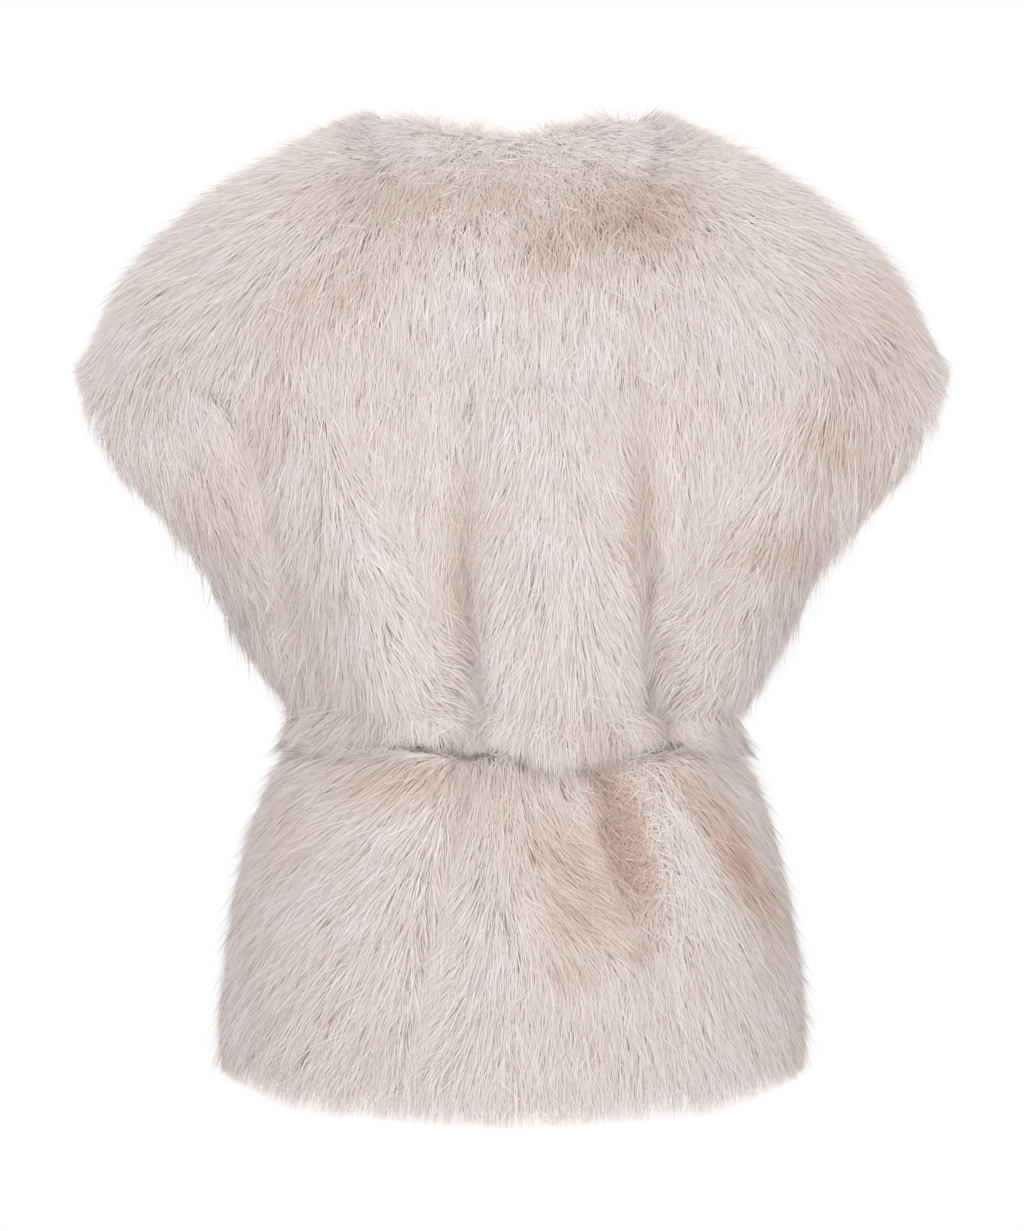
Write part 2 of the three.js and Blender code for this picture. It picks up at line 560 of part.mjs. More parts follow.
// The frame crosses the strap's upper layer: its first bar is under that layer, and its second bar over it.
function buckleFrame() {
  const shape = roundedRectangle(new THREE.Shape(), BUCKLE.width, BUCKLE.height, BUCKLE.corner);
  const [width, height] = [BUCKLE.width - 2 * BUCKLE.wire, BUCKLE.height - 2 * BUCKLE.wire];
  shape.holes.push(roundedRectangle(new THREE.Path(), width, height, BUCKLE.corner - BUCKLE.wire));
  const off = (x, layers) => {
    const angle = angleAtX(x);
    return -waistPoint(angle, strapInside(angle) + layers).y;
  };
  const under = off(-BAR_X, LAYER) - BAR_FIT - BUCKLE.thickness / 2;
  const over = off(BAR_X, LAYER + STRAP.thickness) + BAR_FIT + BUCKLE.thickness / 2;
  const tilt = Math.atan2(over - under, 2 * BAR_X);
  return plate(shape, BUCKLE.thickness).rotateZ(-tilt).translate(0, -(over + under) / 2, WAIST_Z);
}

// The prong comes out of the strap's upper layer and its tip rests over the second bar.
function buckleProng() {
  const length = PRONG.tip - PRONG.heel;
  const w = PRONG.width / 2;
  const shape = new THREE.Shape();
  shape.moveTo(-length / 2, -w);
  shape.lineTo(length / 2 - w, -w);
  shape.absarc(length / 2 - w, 0, w, -Math.PI / 2, Math.PI / 2, false);
  shape.lineTo(-length / 2, w);
  const off = (x, gap) => {
    const angle = angleAtX(x);
    return -waistPoint(angle, strapInside(angle) + LAYER + STRAP.thickness + gap).y + PRONG.thickness / 2;
  };
  const low = off(PRONG.heel, FIT);
  const high = off(PRONG.tip, BAR_FIT + BUCKLE.thickness + 3 * FIT);
  const tilt = Math.atan2(high - low, length);
  const middle = (PRONG.tip + PRONG.heel) / 2;
  return plate(shape, PRONG.thickness).rotateZ(-tilt).translate(middle, -(high + low) / 2, WAIST_Z);
}

// A loop round both layers of the strap, which holds its free end down.
function keeper() {
  const depth = LAYER + STRAP.thickness + 2 * FIT;
  const height = STRAP.height + 2 * FIT;
  const wall = 2 * KEEPER.wall;
  const shape = roundedRectangle(new THREE.Shape(), depth + wall, height + wall, KEEPER.corner);
  shape.holes.push(roundedRectangle(new THREE.Path(), depth, height, KEEPER.innerCorner));
  const options = { depth: KEEPER.width, bevelEnabled: false, curveSegments: 3 };
  const geometry = new THREE.ExtrudeGeometry(shape, options);
  const angle = angleAtX(KEEPER.x);
  const at = waistPoint(angle, strapInside(angle) + (LAYER + STRAP.thickness) / 2);
  const ahead = waistPoint(angle + 0.01, 0).sub(waistPoint(angle - 0.01, 0));
  geometry.translate(0, 0, -KEEPER.width / 2).rotateX(Math.PI / 2).rotateZ(Math.PI / 2);
  return geometry.rotateZ(Math.atan2(ahead.y, ahead.x)).translate(at.x, at.y, at.z);
}

const materials = {
  fur: new THREE.MeshStandardMaterial({ color: COLOURS.fur, roughness: 0.9, metalness: 0 }),
  strap: new THREE.MeshStandardMaterial({ color: COLOURS.strap, roughness: 0.5, metalness: 0 }),
  metal: new THREE.MeshStandardMaterial({ color: COLOURS.metal, roughness: 0.3, metalness: 1 }),
};

const vest = new THREE.Group();
vest.name = 'fur_vest';
const pieces = [
  ['back', panelWall(0), 'fur'],
  ['front_left', panelWall(1), 'fur'],
  ['front_right', panelWall(-1), 'fur'],
  ['belt_strap', strap(), 'strap'],
  ['belt_keeper', keeper(), 'strap'],
  ['buckle_frame', buckleFrame(), 'metal'],
  ['buckle_prong', buckleProng(), 'metal'],
];
for (const [name, geometry, slot] of pieces) {
  const mesh = new THREE.Mesh(geometry, materials[slot].clone());
  mesh.name = name;
  vest.add(mesh);
}

export default vest;
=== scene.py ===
"""A belted vest of pale long-pile fur, filled out by an unseen figure, seen from behind in a light studio."""

import math

import bpy
import numpy as np
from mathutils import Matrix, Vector
from mathutils.kdtree import KDTree


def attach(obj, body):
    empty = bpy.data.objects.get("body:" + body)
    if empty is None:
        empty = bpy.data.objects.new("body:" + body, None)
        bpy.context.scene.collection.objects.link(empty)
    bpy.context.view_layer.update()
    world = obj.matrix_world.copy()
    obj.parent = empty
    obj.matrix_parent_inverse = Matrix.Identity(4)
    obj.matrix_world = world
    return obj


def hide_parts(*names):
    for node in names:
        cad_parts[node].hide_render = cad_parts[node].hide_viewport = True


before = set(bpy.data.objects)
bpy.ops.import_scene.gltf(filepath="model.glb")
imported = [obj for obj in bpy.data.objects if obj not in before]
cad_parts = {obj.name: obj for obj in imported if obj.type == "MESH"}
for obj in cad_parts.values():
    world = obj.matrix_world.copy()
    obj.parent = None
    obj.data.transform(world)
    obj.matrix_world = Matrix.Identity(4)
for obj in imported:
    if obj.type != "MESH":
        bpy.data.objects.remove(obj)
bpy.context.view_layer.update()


# The backing of the back and of the two fronts: a knitted cloth that carries the pile. Each is cut in one
# piece from shoulder to hem, and the strap gathers them at the waist. They are sewn at the shoulders and
# sides, and the fronts are hooked edge to edge. Sizes are in metres, with z from the shoulder line down.
FIGURE = {
    "z": (-0.580, -0.500, -0.440, -0.395, -0.371, -0.341, -0.322, -0.268, -0.230, -0.206, -0.182, -0.150),
    "side": (0.167, 0.161, 0.150, 0.136, 0.120, 0.120, 0.132, 0.166, 0.190, 0.211, 0.237, 0.252),
    "back": (0.118, 0.115, 0.107, 0.097, 0.088, 0.088, 0.101, 0.114, 0.118, 0.119, 0.118, 0.114),
    "front": (0.103, 0.103, 0.098, 0.093, 0.088, 0.088, 0.098, 0.115, 0.124, 0.126, 0.127, 0.120),
}
PLEAT_LINES = {
    "z": (-0.580, -0.500, -0.420, -0.371, -0.341, -0.220, -0.150),
    "left": (0.038, 0.035, 0.030, 0.027, 0.025, 0.028, 0.031),
    "right": (-0.090, -0.084, -0.073, -0.076, -0.086, -0.082, -0.078),
}
HEM_MIDDLE, HEM_SIDE = -0.579, -0.556
UNDERARM, ARM_MIDDLE, CHEST = -0.268, -0.182, -0.150
ARM_GAP, ARM_OPEN, ARM_RISE = 0.072, 0.12, 1.25
TIP_X, TIP_Z, TOP_Z, DROOP = 0.262, -0.132, 0.008, 3.1
SHOULDER_SPREAD = 1.08
NECK_HALF, NECK_DEPTH, NECK_BACK, NECK_SHARE = 0.072, 0.062, -0.006, 0.3
VEE_FOOT = -0.245
WAIST = -0.356
STRAP_LOW, STRAP_HIGH = -0.380, -0.332
PILE = 0.024
SEAM_HALF = 0.00015
FOLD_FADE = 0.026
SEAM_EASE = 0.14
# Rows of the grid in each stretch, from the hem up: tail, strap, bodice, armhole and shoulder.
ROWS = (34, 10, 14, 22, 26)
# The back's columns in three stretches, which end at its two pleats.
PLEAT_SHARES = (0, 0.385, 0.654, 1)

# Changes in the pile's height: the most each comes to, its x or z, and its half width.
PILE_CHANGES = {
    "beside the neck": (0.005, NECK_HALF, 0.030),
    "over the strap": (0.004, -0.350, 0.020),
    "side of the waist": (0.008, -0.348, 0.036),
    "crest of the cap": (0.006, 0.17, 0.06),
    "ridge above the strap": (0.007, -0.345, 0.018),
    "ridge below the strap": (0.008, -0.376, 0.012),
}
ARMHOLE_THINNING, SIDE_THINNING, CAP_THINNING = 0.25, 0.004, 0.006
RIDGE_X, RIDGE_HALF = -0.032, 0.044

# Folds: where each line starts and ends (x, z), how far out it stands at both ends, and its half width there.
BACK_FOLDS = (
    (0.032, -0.095, 0.025, -0.340, -0.003, -0.027, 0.009, 0.009),
    (0.072, -0.140, 0.030, -0.340, -0.003, -0.009, 0.034, 0.014),
    (-0.078, -0.105, -0.086, -0.340, -0.003, -0.025, 0.009, 0.009),
    (-0.122, -0.140, -0.091, -0.340, -0.003, -0.009, 0.034, 0.014),
    (-0.026, -0.080, -0.031, -0.345, 0.002, 0.012, 0.034, 0.033),
    (0.120, -0.150, 0.058, -0.345, 0.005, 0.010, 0.024, 0.018),
    (0.160, -0.165, 0.104, -0.335, -0.004, -0.009, 0.014, 0.011),
    (-0.178, -0.145, -0.116, -0.345, 0.005, 0.009, 0.024, 0.016),
    (-0.190, -0.235, -0.138, -0.335, -0.002, -0.007, 0.014, 0.010),
    (0.028, -0.372, 0.036, -0.530, -0.012, -0.002, 0.008, 0.020),
    (0.006, -0.378, -0.016, -0.505, 0.008, 0.006, 0.017, 0.024),
    (-0.057, -0.378, -0.084, -0.490, -0.015, -0.008, 0.013, 0.015),
    (-0.094, -0.378, -0.135, -0.510, 0.007, 0.003, 0.016, 0.026),
    (-0.112, -0.376, -0.178, -0.505, -0.005, -0.008, 0.009, 0.013),
    (0.056, -0.378, 0.112, -0.530, 0.006, 0.003, 0.020, 0.034),
)
FRONT_FOLDS = (
    (0.084, -0.165, 0.048, -0.340, -0.003, -0.017, 0.013, 0.009),
    (0.112, -0.150, 0.070, -0.345, 0.004, 0.009, 0.026, 0.014),
    (0.158, -0.190, 0.092, -0.338, -0.003, -0.012, 0.015, 0.009),
    (0.046, -0.376, 0.066, -0.520, -0.011, -0.002, 0.009, 0.018),
    (0.070, -0.378, 0.104, -0.530, 0.006, 0.003, 0.016, 0.028),
    (0.096, -0.377, 0.140, -0.510, -0.008, -0.003, 0.009, 0.016),
)


def mix(a, b, t):
    return a + (b - a) * t


def smooth(t):
    s = np.clip(t, 0, 1)
    return s * s * (3 - 2 * s)


def bell(t):
    return np.exp(-t * t)


def along(table, z, column):
    """A column of a table at the heights z, smooth and without overshoot."""
    heights, values = np.array(table["z"]), np.array(table[column])
    rise = np.diff(values) / np.diff(heights)
    below, above = rise[:-1], rise[1:]
    total = np.where(below + above == 0, 1, below + above)
    middle = np.where(below * above > 0, 2 * below * above / total, 0)
    slope = np.concatenate([rise[:1], middle, rise[-1:]])
    z = np.clip(z, heights[0], heights[-1])
    k = np.clip(np.searchsorted(heights, z, side="right") - 1, 0, len(rise) - 1)
    h = heights[k + 1] - heights[k]
    t = (z - heights[k]) / h
    return (mix(values[k], values[k + 1], t * t * (3 - 2 * t))
            + h * (t ** 3 - 2 * t ** 2 + t) * slope[k] + h * (t ** 3 - t ** 2) * slope[k + 1])


def shoulder_z(x):
    return TOP_Z - (TOP_Z - TIP_Z) * (x / TIP_X) ** DROOP


def vee(z):
    """How far the front neckline stands off the middle."""
    return NECK_HALF * np.clip((z - VEE_FOOT) / (shoulder_z(NECK_HALF) - VEE_FOOT), 0, 1)


def strokes(table, x, z):
    """The sum of a table's folds at x, z: each runs from x1, z1 to x2, z2 with its value and half width."""
    total = np.zeros_like(x)
    for x1, z1, x2, z2, value1, value2, width1, width2 in table:
        t = (z - z1) / (z2 - z1)
        s = np.clip(t, 0, 1)
        past = np.abs(t - s) * abs(z2 - z1)
        across = bell((x - mix(x1, x2, s)) / mix(width1, width2, s))
        total += mix(value1, value2, s) * across * bell(past / FOLD_FADE)
    return total


def pile_change(name, place):
    """One of the pile's changes in height: the most it comes to, where, and its half width there."""
    most, centre, half_width = PILE_CHANGES[name]
    return most * bell((place - centre) / half_width)


def pile_height(x, z, u, turn, middle, ridge):
    """How high the pile stands at x from the middle, z and the share u of the way to the side."""
    pile = PILE + pile_change("beside the neck", x) * smooth(turn / (math.pi / 2))
    pile *= 1 - ARMHOLE_THINNING * smooth((u - 0.78) / 0.22) * smooth((middle + 0.215) / 0.050)
    pile += pile_change("over the strap", z)
    at_side = smooth((u - 0.65) / 0.30)
    pile -= at_side * (SIDE_THINNING * smooth((WAIST - z) / 0.030) + pile_change("side of the waist", z))
    on_cap = pile_change("crest of the cap", x) + CAP_THINNING * smooth((u - 0.88) / 0.12)
    pile -= smooth(turn / 1.3) * on_cap
    return pile + ridge * (pile_change("ridge above the strap", z) - pile_change("ridge below the strap", z))


def cloth(side, columns, fineness):
    """A panel's backing on a grid: points, outward normals, how far its folds stand out, the pile's height.
    side is 0 for the back, 1 for the wearer's left front and -1 for the right front."""
    back = side == 0
    tail, strap, bodice, arm, dome = (np.arange(1, n + 1) / n for n in [round(c * fineness) for c in ROWS])
    tail = np.concatenate([[0], tail])
    middle = np.concatenate([
        mix(HEM_MIDDLE, STRAP_LOW, tail), mix(STRAP_LOW, STRAP_HIGH, strap),
        mix(STRAP_HIGH, UNDERARM, bodice), mix(UNDERARM, CHEST, arm), np.full(len(dome), CHEST)])
    edge = np.concatenate([
        mix(HEM_SIDE, STRAP_LOW, tail), mix(STRAP_LOW, STRAP_HIGH, strap),
        mix(STRAP_HIGH, UNDERARM, bodice), mix(UNDERARM, ARM_MIDDLE, arm ** ARM_RISE),
        np.full(len(dome), ARM_MIDDLE)])
    low = len(tail) + len(strap) + len(bodice)
    opening = ARM_GAP * np.sin(arm * math.pi / 2) ** ARM_RISE
    gap = np.concatenate([np.zeros(low), opening, np.full(len(dome), ARM_GAP)])
    spread = np.concatenate([np.ones(low), 1 - ARM_OPEN * smooth(arm), np.full(len(dome), 1 - ARM_OPEN)])
    turn = np.concatenate([np.zeros(low + len(arm)), dome * math.pi / 2])

    half = along(FIGURE, edge, "side")
    quarter = np.sin(spread * math.pi / 2)

    def angle_at(x):
        return np.arcsin(x * quarter / half) / spread

    t = np.linspace(0, 1, columns + 1)[:, None]
    if back:
        stops = [np.full(len(edge), -math.pi / 2), angle_at(along(PLEAT_LINES, middle, "right")),
                 angle_at(along(PLEAT_LINES, middle, "left")), np.full(len(edge), math.pi / 2)]
        shares = PLEAT_SHARES
    else:
        stops = [angle_at(vee(middle)), np.full(len(edge), math.pi / 2)]
        shares = (0, 1)
    signed = np.zeros((columns + 1, len(edge)))
    for k in range(len(stops) - 1):
        s = (t - shares[k]) / (shares[k + 1] - shares[k])
        here = (s >= 0) & (s <= 1)
        signed = np.where(here, mix(stops[k], stops[k + 1], s), signed)
    mirror = np.where(signed < 0, -1.0, 1.0) if back else float(side)
    angle = np.abs(signed)
    start = 0 if back else stops[0]
    u = (angle - start) / (math.pi / 2 - start)

    depth = along(FIGURE, middle, "back" if back else "front")
    x = half * np.sin(angle * spread) / quarter
    y = gap + (depth - gap) * np.cos(angle)
    z = mix(middle, edge, np.sin(angle) ** 2)
    share = NECK_SHARE if back else 0
    round_neck = (math.pi / 2) * np.sin((math.pi / 2) * np.clip(u / max(share, 1e-9), 0, 1))
    seam_x = mix(NECK_HALF, TIP_X, np.clip((u - share) / (1 - share), 0, 1) ** SHOULDER_SPREAD)
    at_neck = u < share
    top_x = np.where(at_neck, NECK_HALF * np.sin(round_neck), seam_x)
    top_y = np.where(at_neck, NECK_DEPTH * np.cos(round_neck), 0)
    neck_z = mix(NECK_BACK, shoulder_z(NECK_HALF), np.sin(round_neck) ** 2)
    top_z = np.where(at_neck, neck_z, shoulder_z(seam_x))
    up, over = np.sin(turn), np.cos(turn)
    x, y, z = mix(x, top_x, up), mix(top_y, y, over), mix(z, top_z, up)
    facing = 1 if back else -1
    points = np.stack([mirror * x, facing * np.maximum(y, SEAM_HALF), z], axis=2)

    normals = np.cross(np.gradient(points, axis=0), np.gradient(points, axis=1))
    side_seam = (u > 0.999) & (gap == 0)
    on_shoulder_seam = (turn > 1.57) & ~at_neck
    normals[..., 1] = np.where(side_seam | on_shoulder_seam, 0, normals[..., 1])
    away = np.stack([points[..., 0], points[..., 1], np.maximum(0, points[..., 2] - CHEST) + 0.001], axis=2)
    normals *= np.sign((normals * away).sum(2))[..., None]
    normals /= np.linalg.norm(normals, axis=2)[..., None]

    beside = smooth((1 - u) / SEAM_EASE) * (1 if back else smooth(u / SEAM_EASE))
    across = points[..., 0] if back else np.abs(points[..., 0])
    folds = strokes(BACK_FOLDS if back else FRONT_FOLDS, across, points[..., 2]) * beside
    from_strap = np.abs(z - WAIST)
    ridge = bell((points[..., 0] - RIDGE_X) / RIDGE_HALF) if back else 0
    return {
        "points": points, "normals": normals, "u": u, "turn": turn + 0 * u, "back": back,
        "open": folds, "folds": folds * smooth((from_strap - 0.012) / 0.030),
        "waves": folds * smooth((from_strap - 0.002) / 0.018),
        "pile": pile_height(x, z, u, turn, middle, ridge)}


def wall_mesh(name, outer, inner, materials):
    """A closed wall between two grids of points. The outer grid and the edges take the first material, the
    inner grid the second."""
    columns, rows = outer.shape[:2]
    index = np.arange(columns * rows).reshape(columns, rows)
    corners = np.stack([index[:-1, :-1], index[1:, :-1], index[1:, 1:], index[:-1, 1:]], axis=2)
    corners = corners.reshape(-1, 4)
    step = columns * rows
    border = np.concatenate([index[:-1, 0], index[-1, :-1], index[:0:-1, -1], index[0, :0:-1]])
    after = np.roll(border, -1)
    rim = np.stack([after, border, border + step, after + step], axis=1)
    faces = np.concatenate([corners, rim, corners[:, ::-1] + step])
    points = np.concatenate([outer.reshape(-1, 3), inner.reshape(-1, 3)])
    a, b, c = points[corners[0, 0]], points[corners[0, 1]], points[corners[0, 3]]
    if np.cross(b - a, c - a).dot(outer[0, 0] - inner[0, 0]) < 0:
        faces = faces[:, ::-1]
    mesh = bpy.data.meshes.new(name)
    mesh.from_pydata(points.tolist(), [], faces.tolist())
    for material in materials:
        mesh.materials.append(material)
    slots = np.zeros(len(faces), dtype=np.int32)
    slots[len(corners) + len(rim):] = 1
    mesh.polygons.foreach_set("material_index", slots)
    mesh.shade_smooth()
    piece = bpy.data.objects.new(name, mesh)
    bpy.context.collection.objects.link(piece)
    return piece


def new_material(name):
    material = bpy.data.materials.new(name)
    material.use_nodes = True
    return material, material.node_tree.nodes, material.node_tree.links


def tone_group():
    """Slow changes of tone over the cloth, from dyeing and wear: puts out a value around 0.5."""
    group = bpy.data.node_groups.new("dye_drift", "ShaderNodeTree")
    group.interface.new_socket("Patch Size", in_out="INPUT", socket_type="NodeSocketFloat")
    group.interface.new_socket("Contrast", in_out="INPUT", socket_type="NodeSocketFloat")
    group.interface.new_socket("Drift", in_out="OUTPUT", socket_type="NodeSocketFloat")
    nodes, links = group.nodes, group.links
    given, out = nodes.new("NodeGroupInput"), nodes.new("NodeGroupOutput")
    place = nodes.new("ShaderNodeTexCoord")
    noise = nodes.new("ShaderNodeTexNoise")
    noise.inputs["Detail"].default_value = 3
    centred = nodes.new("ShaderNodeMath")
    centred.operation = "SUBTRACT"
    centred.inputs[1].default_value = 0.5
    scaled = nodes.new("ShaderNodeMath")
    scaled.operation = "MULTIPLY_ADD"
    scaled.inputs[2].default_value = 0.5
    scaled.use_clamp = True
    links.new(place.outputs["Object"], noise.inputs["Vector"])
    links.new(given.outputs["Patch Size"], noise.inputs["Scale"])
    links.new(noise.outputs["Fac"], centred.inputs[0])
    links.new(centred.outputs[0], scaled.inputs[0])
    links.new(given.outputs["Contrast"], scaled.inputs[1])
    links.new(scaled.outputs[0], out.inputs["Drift"])
    return group


dye_drift = tone_group()

# The short dense underfur on the outside of the backing shows between the guard hairs. It glows faintly:
# painted light that lifts the shade in the gaps between the hairs.
underfur, nodes, links = new_material("underfur")
shader = nodes["Principled BSDF"]
drift = nodes.new("ShaderNodeGroup")
drift.node_tree = dye_drift
drift.inputs["Patch Size"].default_value = 9
drift.inputs["Contrast"].default_value = 1.6
tint = nodes.new("ShaderNodeValToRGB")
tint.color_ramp.elements[0].color = (0.80, 0.71, 0.66, 1)
tint.color_ramp.elements[1].color = (0.88, 0.82, 0.79, 1)
hairs = nodes.new("ShaderNodeTexNoise")
hairs.inputs["Scale"].default_value = 900
bump = nodes.new("ShaderNodeBump")
bump.inputs["Distance"].default_value = 0.001
links.new(drift.outputs["Drift"], tint.inputs["Fac"])
links.new(tint.outputs["Color"], shader.inputs["Base Color"])
links.new(hairs.outputs["Fac"], bump.inputs["Height"])
links.new(bump.outputs["Normal"], shader.inputs["Normal"])
shader.inputs["Roughness"].default_value = 0.9
# Painted light: a faint warm glow that lifts the shade deep in the pile.
shader.inputs["Emission Color"].default_value = (1.0, 0.86, 0.80, 1)
shader.inputs["Emission Strength"].default_value = 0.06

# Inside, the bare knit of the backing: fine wales and courses.
knit, nodes, links = new_material("backing_knit")
shader = nodes["Principled BSDF"]
place = nodes.new("ShaderNodeTexCoord")
wales = nodes.new("ShaderNodeTexWave")
wales.bands_direction = "X"
wales.inputs["Scale"].default_value = 260
courses = nodes.new("ShaderNodeTexWave")
courses.bands_direction = "Z"
courses.inputs["Scale"].default_value = 260
loops = nodes.new("ShaderNodeMath")
loops.operation = "MULTIPLY"
tint = nodes.new("ShaderNodeValToRGB")
tint.color_ramp.elements[0].color = (0.46, 0.41, 0.37, 1)
tint.color_ramp.elements[1].color = (0.66, 0.60, 0.55, 1)
bump = nodes.new("ShaderNodeBump")
bump.inputs["Distance"].default_value = 0.0004
for wave in (wales, courses):
    links.new(place.outputs["Object"], wave.inputs["Vector"])
links.new(wales.outputs["Fac"], loops.inputs[0])
links.new(courses.outputs["Fac"], loops.inputs[1])
links.new(loops.outputs[0], tint.inputs["Fac"])
links.new(tint.outputs["Color"], shader.inputs["Base Color"])
links.new(loops.outputs[0], bump.inputs["Height"])
links.new(bump.outputs["Normal"], shader.inputs["Normal"])
shader.inputs["Roughness"].default_value = 0.85

PANELS = {
    "back": {"side": 0, "columns": 64, "flat": (0.66, 0.62), "area": 0.34},
    "front_left": {"side": 1, "columns": 34, "flat": (0.34, 0.64), "area": 0.17},
    "front_right": {"side": -1, "columns": 34, "flat": (0.34, 0.64), "area": 0.17},
}
UNDERFUR = 0.009
CLOTH_OUT, CLOTH_IN = 0.001, 0.0015
OUTER_FOLDS, INNER_FOLDS = 0.7, 0.6
BACKING_FINENESS = 0.75
for node, panel in PANELS.items():
    grid = cloth(panel["side"], panel["columns"], BACKING_FINENESS)
    points, normals, folds = grid["points"], grid["normals"], grid["folds"][..., None]
    columns, rows = folds.shape[:2]
    from_edge = np.minimum.reduce(np.broadcast_arrays(
        np.arange(columns)[:, None], np.arange(columns)[::-1, None], np.arange(rows), np.arange(rows)[::-1]))
    clear_of_strap = smooth((np.abs(points[..., 2] - WAIST) - 0.010) / 0.008)
    thick = CLOTH_OUT + UNDERFUR * smooth(from_edge / 3) * clear_of_strap
    outer = points + normals * (OUTER_FOLDS * folds + thick[..., None])
    inner = points + normals * (INNER_FOLDS * folds - CLOTH_IN)
    piece = wall_mesh("backing_" + node, outer, inner, (underfur, knit))
    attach(piece, "root")
    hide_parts(node)


# The pile: long soft guard hairs on the backing, brushed down and out over the shoulders, and lying from
# the ridges into the folds. Each hair is a narrow tapering ribbon, and neighbours lie together in locks.
HAIRS = 300000
HAIR, SHORTEST = 0.036, 0.012
HAIR_WIDTH = 0.00055
LOCK = 0.0058
PILE_FINENESS = 2
# How often the normals are evened out over the folds.
SOFTENING = 40
# The hairs' points as shares of their length, and of the pile's height there for lying and standing hairs.
STEPS = np.array([0, 0.34, 1.0])
LYING = np.array([0.20, 0.74, 0.97])
STANDING = np.array([0.20, 0.86, 1.34])
# How far from root to tip each of a ribbon's five corners counts for its colour.
TONE_STEPS = np.array([0, 0, 0.45, 0.45, 1.0])
# How a hair's width changes, and how far it is rolled about its own line, in radians.
WIDTH_RANGE, ROOT_WIDTH, ROLL = (0.7, 1.25), 0.9, 0.5
# How the hairs are pulled to the lead hair of their lock at those points, and the room they keep from it.
LOCK_PULL = np.array([0, 0.16, 0.34])
LOCK_ROOM = np.array([1, 0.7, 0.3])
# How strongly the hair turns down the slopes of the folds, below and above the strap.
DOWNHILL = (0.05, 0.15)
FAN_LIMIT = 1.7
# How far hair may pass an edge: at the armholes, on their steepest stretch, at the side seams and the fronts'
# edges, at the hem and on its side stretch, over the neck, and over the edge of its own bundle.
PAST_ARMHOLE, PAST_ARM_TURN, PAST_SIDE, PAST_FRONT = 0.003, 0.012, 0.020, 0.004
PAST_HEM, PAST_HEM_SIDE, PAST_NECK, PAST_BUNDLE = 0.015, 0.006, 0.006, 0.0035
# Hair from above the strap is longer there, more on the middle ridge, and stands off to pass over it.
OVER_STRAP, OVER_STRAP_RIDGE, OFF_STRAP = 0.024, 0.012, 0.009
STRAY_SHARE = 0.07
# No hair grows this near to the middle of the strap.
BARE_HALF = 0.0105

# Lines of the pile's flow, as x at the heights z: crests of the cloth, where it parts, and the edges and
# valleys that it falls to. The bundles name each stretch's edge and crest, its lean at the edge, and its
# lowest and highest z.
BACK_LINES = {
    "z": (-0.560, -0.500, -0.440, -0.380, -0.345, -0.320, -0.290, -0.255, -0.215, -0.175, -0.110),
    "edge_left": (0.022, 0.022, 0.022, 0.022, 0.022, 0.022, 0.027, 0.049, 0.070, 0.089, 0.142),
    "crest_left": (0.086, 0.086, 0.086, 0.086, 0.086, 0.092, 0.100, 0.106, 0.111, 0.116, 0.160),
    "valley_left": (0.126, 0.126, 0.126, 0.126, 0.126, 0.131, 0.134, 0.138, 0.147, 0.158, 0.205),
    "rim_left": (0.150, 0.150, 0.150, 0.150, 0.150, 0.160, 0.185, 0.200, 0.215, 0.230, 0.262),
    "pleat_left": (0.021, 0.021, 0.021, 0.021, 0.021, 0.022, 0.023, 0.022, 0.020, 0.018, 0.012),
    "crest_middle": (-0.034, -0.034, -0.034, -0.034, -0.034, -0.034, -0.034, -0.034, -0.028, -0.024, -0.020),
    "pleat_right": (-0.083, -0.083, -0.083, -0.083, -0.083, -0.082, -0.078, -0.073, -0.071, -0.074, -0.070),
    "edge_right": (-0.085, -0.085, -0.085, -0.085, -0.085, -0.084, -0.083, -0.094, -0.121, -0.145, -0.190),
    "crest_right": (-0.128, -0.128, -0.128, -0.128, -0.128, -0.140, -0.158, -0.170, -0.183, -0.195, -0.225),
    "tail_crest": (0.066, 0.058, 0.050, 0.040, 0.040, 0.040, 0.040, 0.040, 0.040, 0.040, 0.040),
    "tail_valley": (0.058, 0.046, 0.036, 0.028, 0.028, 0.028, 0.028, 0.028, 0.028, 0.028, 0.028),
    "fold_crest": (0.010, 0.009, 0.006, 0.012, 0.012, 0.012, 0.012, 0.012, 0.012, 0.012, 0.012),
    "fold_edge": (-0.088, -0.076, -0.050, -0.042, -0.046, -0.046, -0.046, -0.046, -0.046, -0.046, -0.046),
}
BACK_BUNDLES = (
    ("edge_left", "crest_left", -0.85, -0.352, -0.090),
    ("valley_left", "crest_left", 0.35, -0.352, -0.110),
    ("valley_left", "rim_left", -0.65, -0.352, -0.110),
    ("pleat_left", "crest_middle", 0.42, -0.352, -0.130),
    ("pleat_right", "crest_middle", -0.72, -0.352, -0.130),
    ("edge_right", "crest_right", 0.95, -0.345, -0.100),
    ("tail_valley", "tail_crest", -0.75, -0.560, -0.380),
    ("tail_valley", "fold_crest", 0.75, -0.560, -0.380),
    ("fold_edge", "fold_crest", -1.25, -0.494, -0.368),
)
FRONT_LINES = {
    "z": (-0.540, -0.460, -0.376, -0.345, -0.250, -0.165),
    "pleat": (0.066, 0.056, 0.046, 0.048, 0.066, 0.084),
    "crest_in": (0.030, 0.026, 0.022, 0.020, 0.030, 0.050),
    "crest_out": (0.112, 0.096, 0.076, 0.080, 0.108, 0.130),
    "side_edge": (0.140, 0.122, 0.096, 0.094, 0.122, 0.156),
}
FRONT_BUNDLES = (
    ("pleat", "crest_in", 0.35, -0.345, -0.140),
    ("pleat", "crest_out", -0.65, -0.345, -0.140),
    ("side_edge", "crest_out", 0.35, -0.345, -0.150),
    ("pleat", "crest_in", 0.30, -0.540, -0.385),
    ("pleat", "crest_out", -0.45, -0.540, -0.385),
)
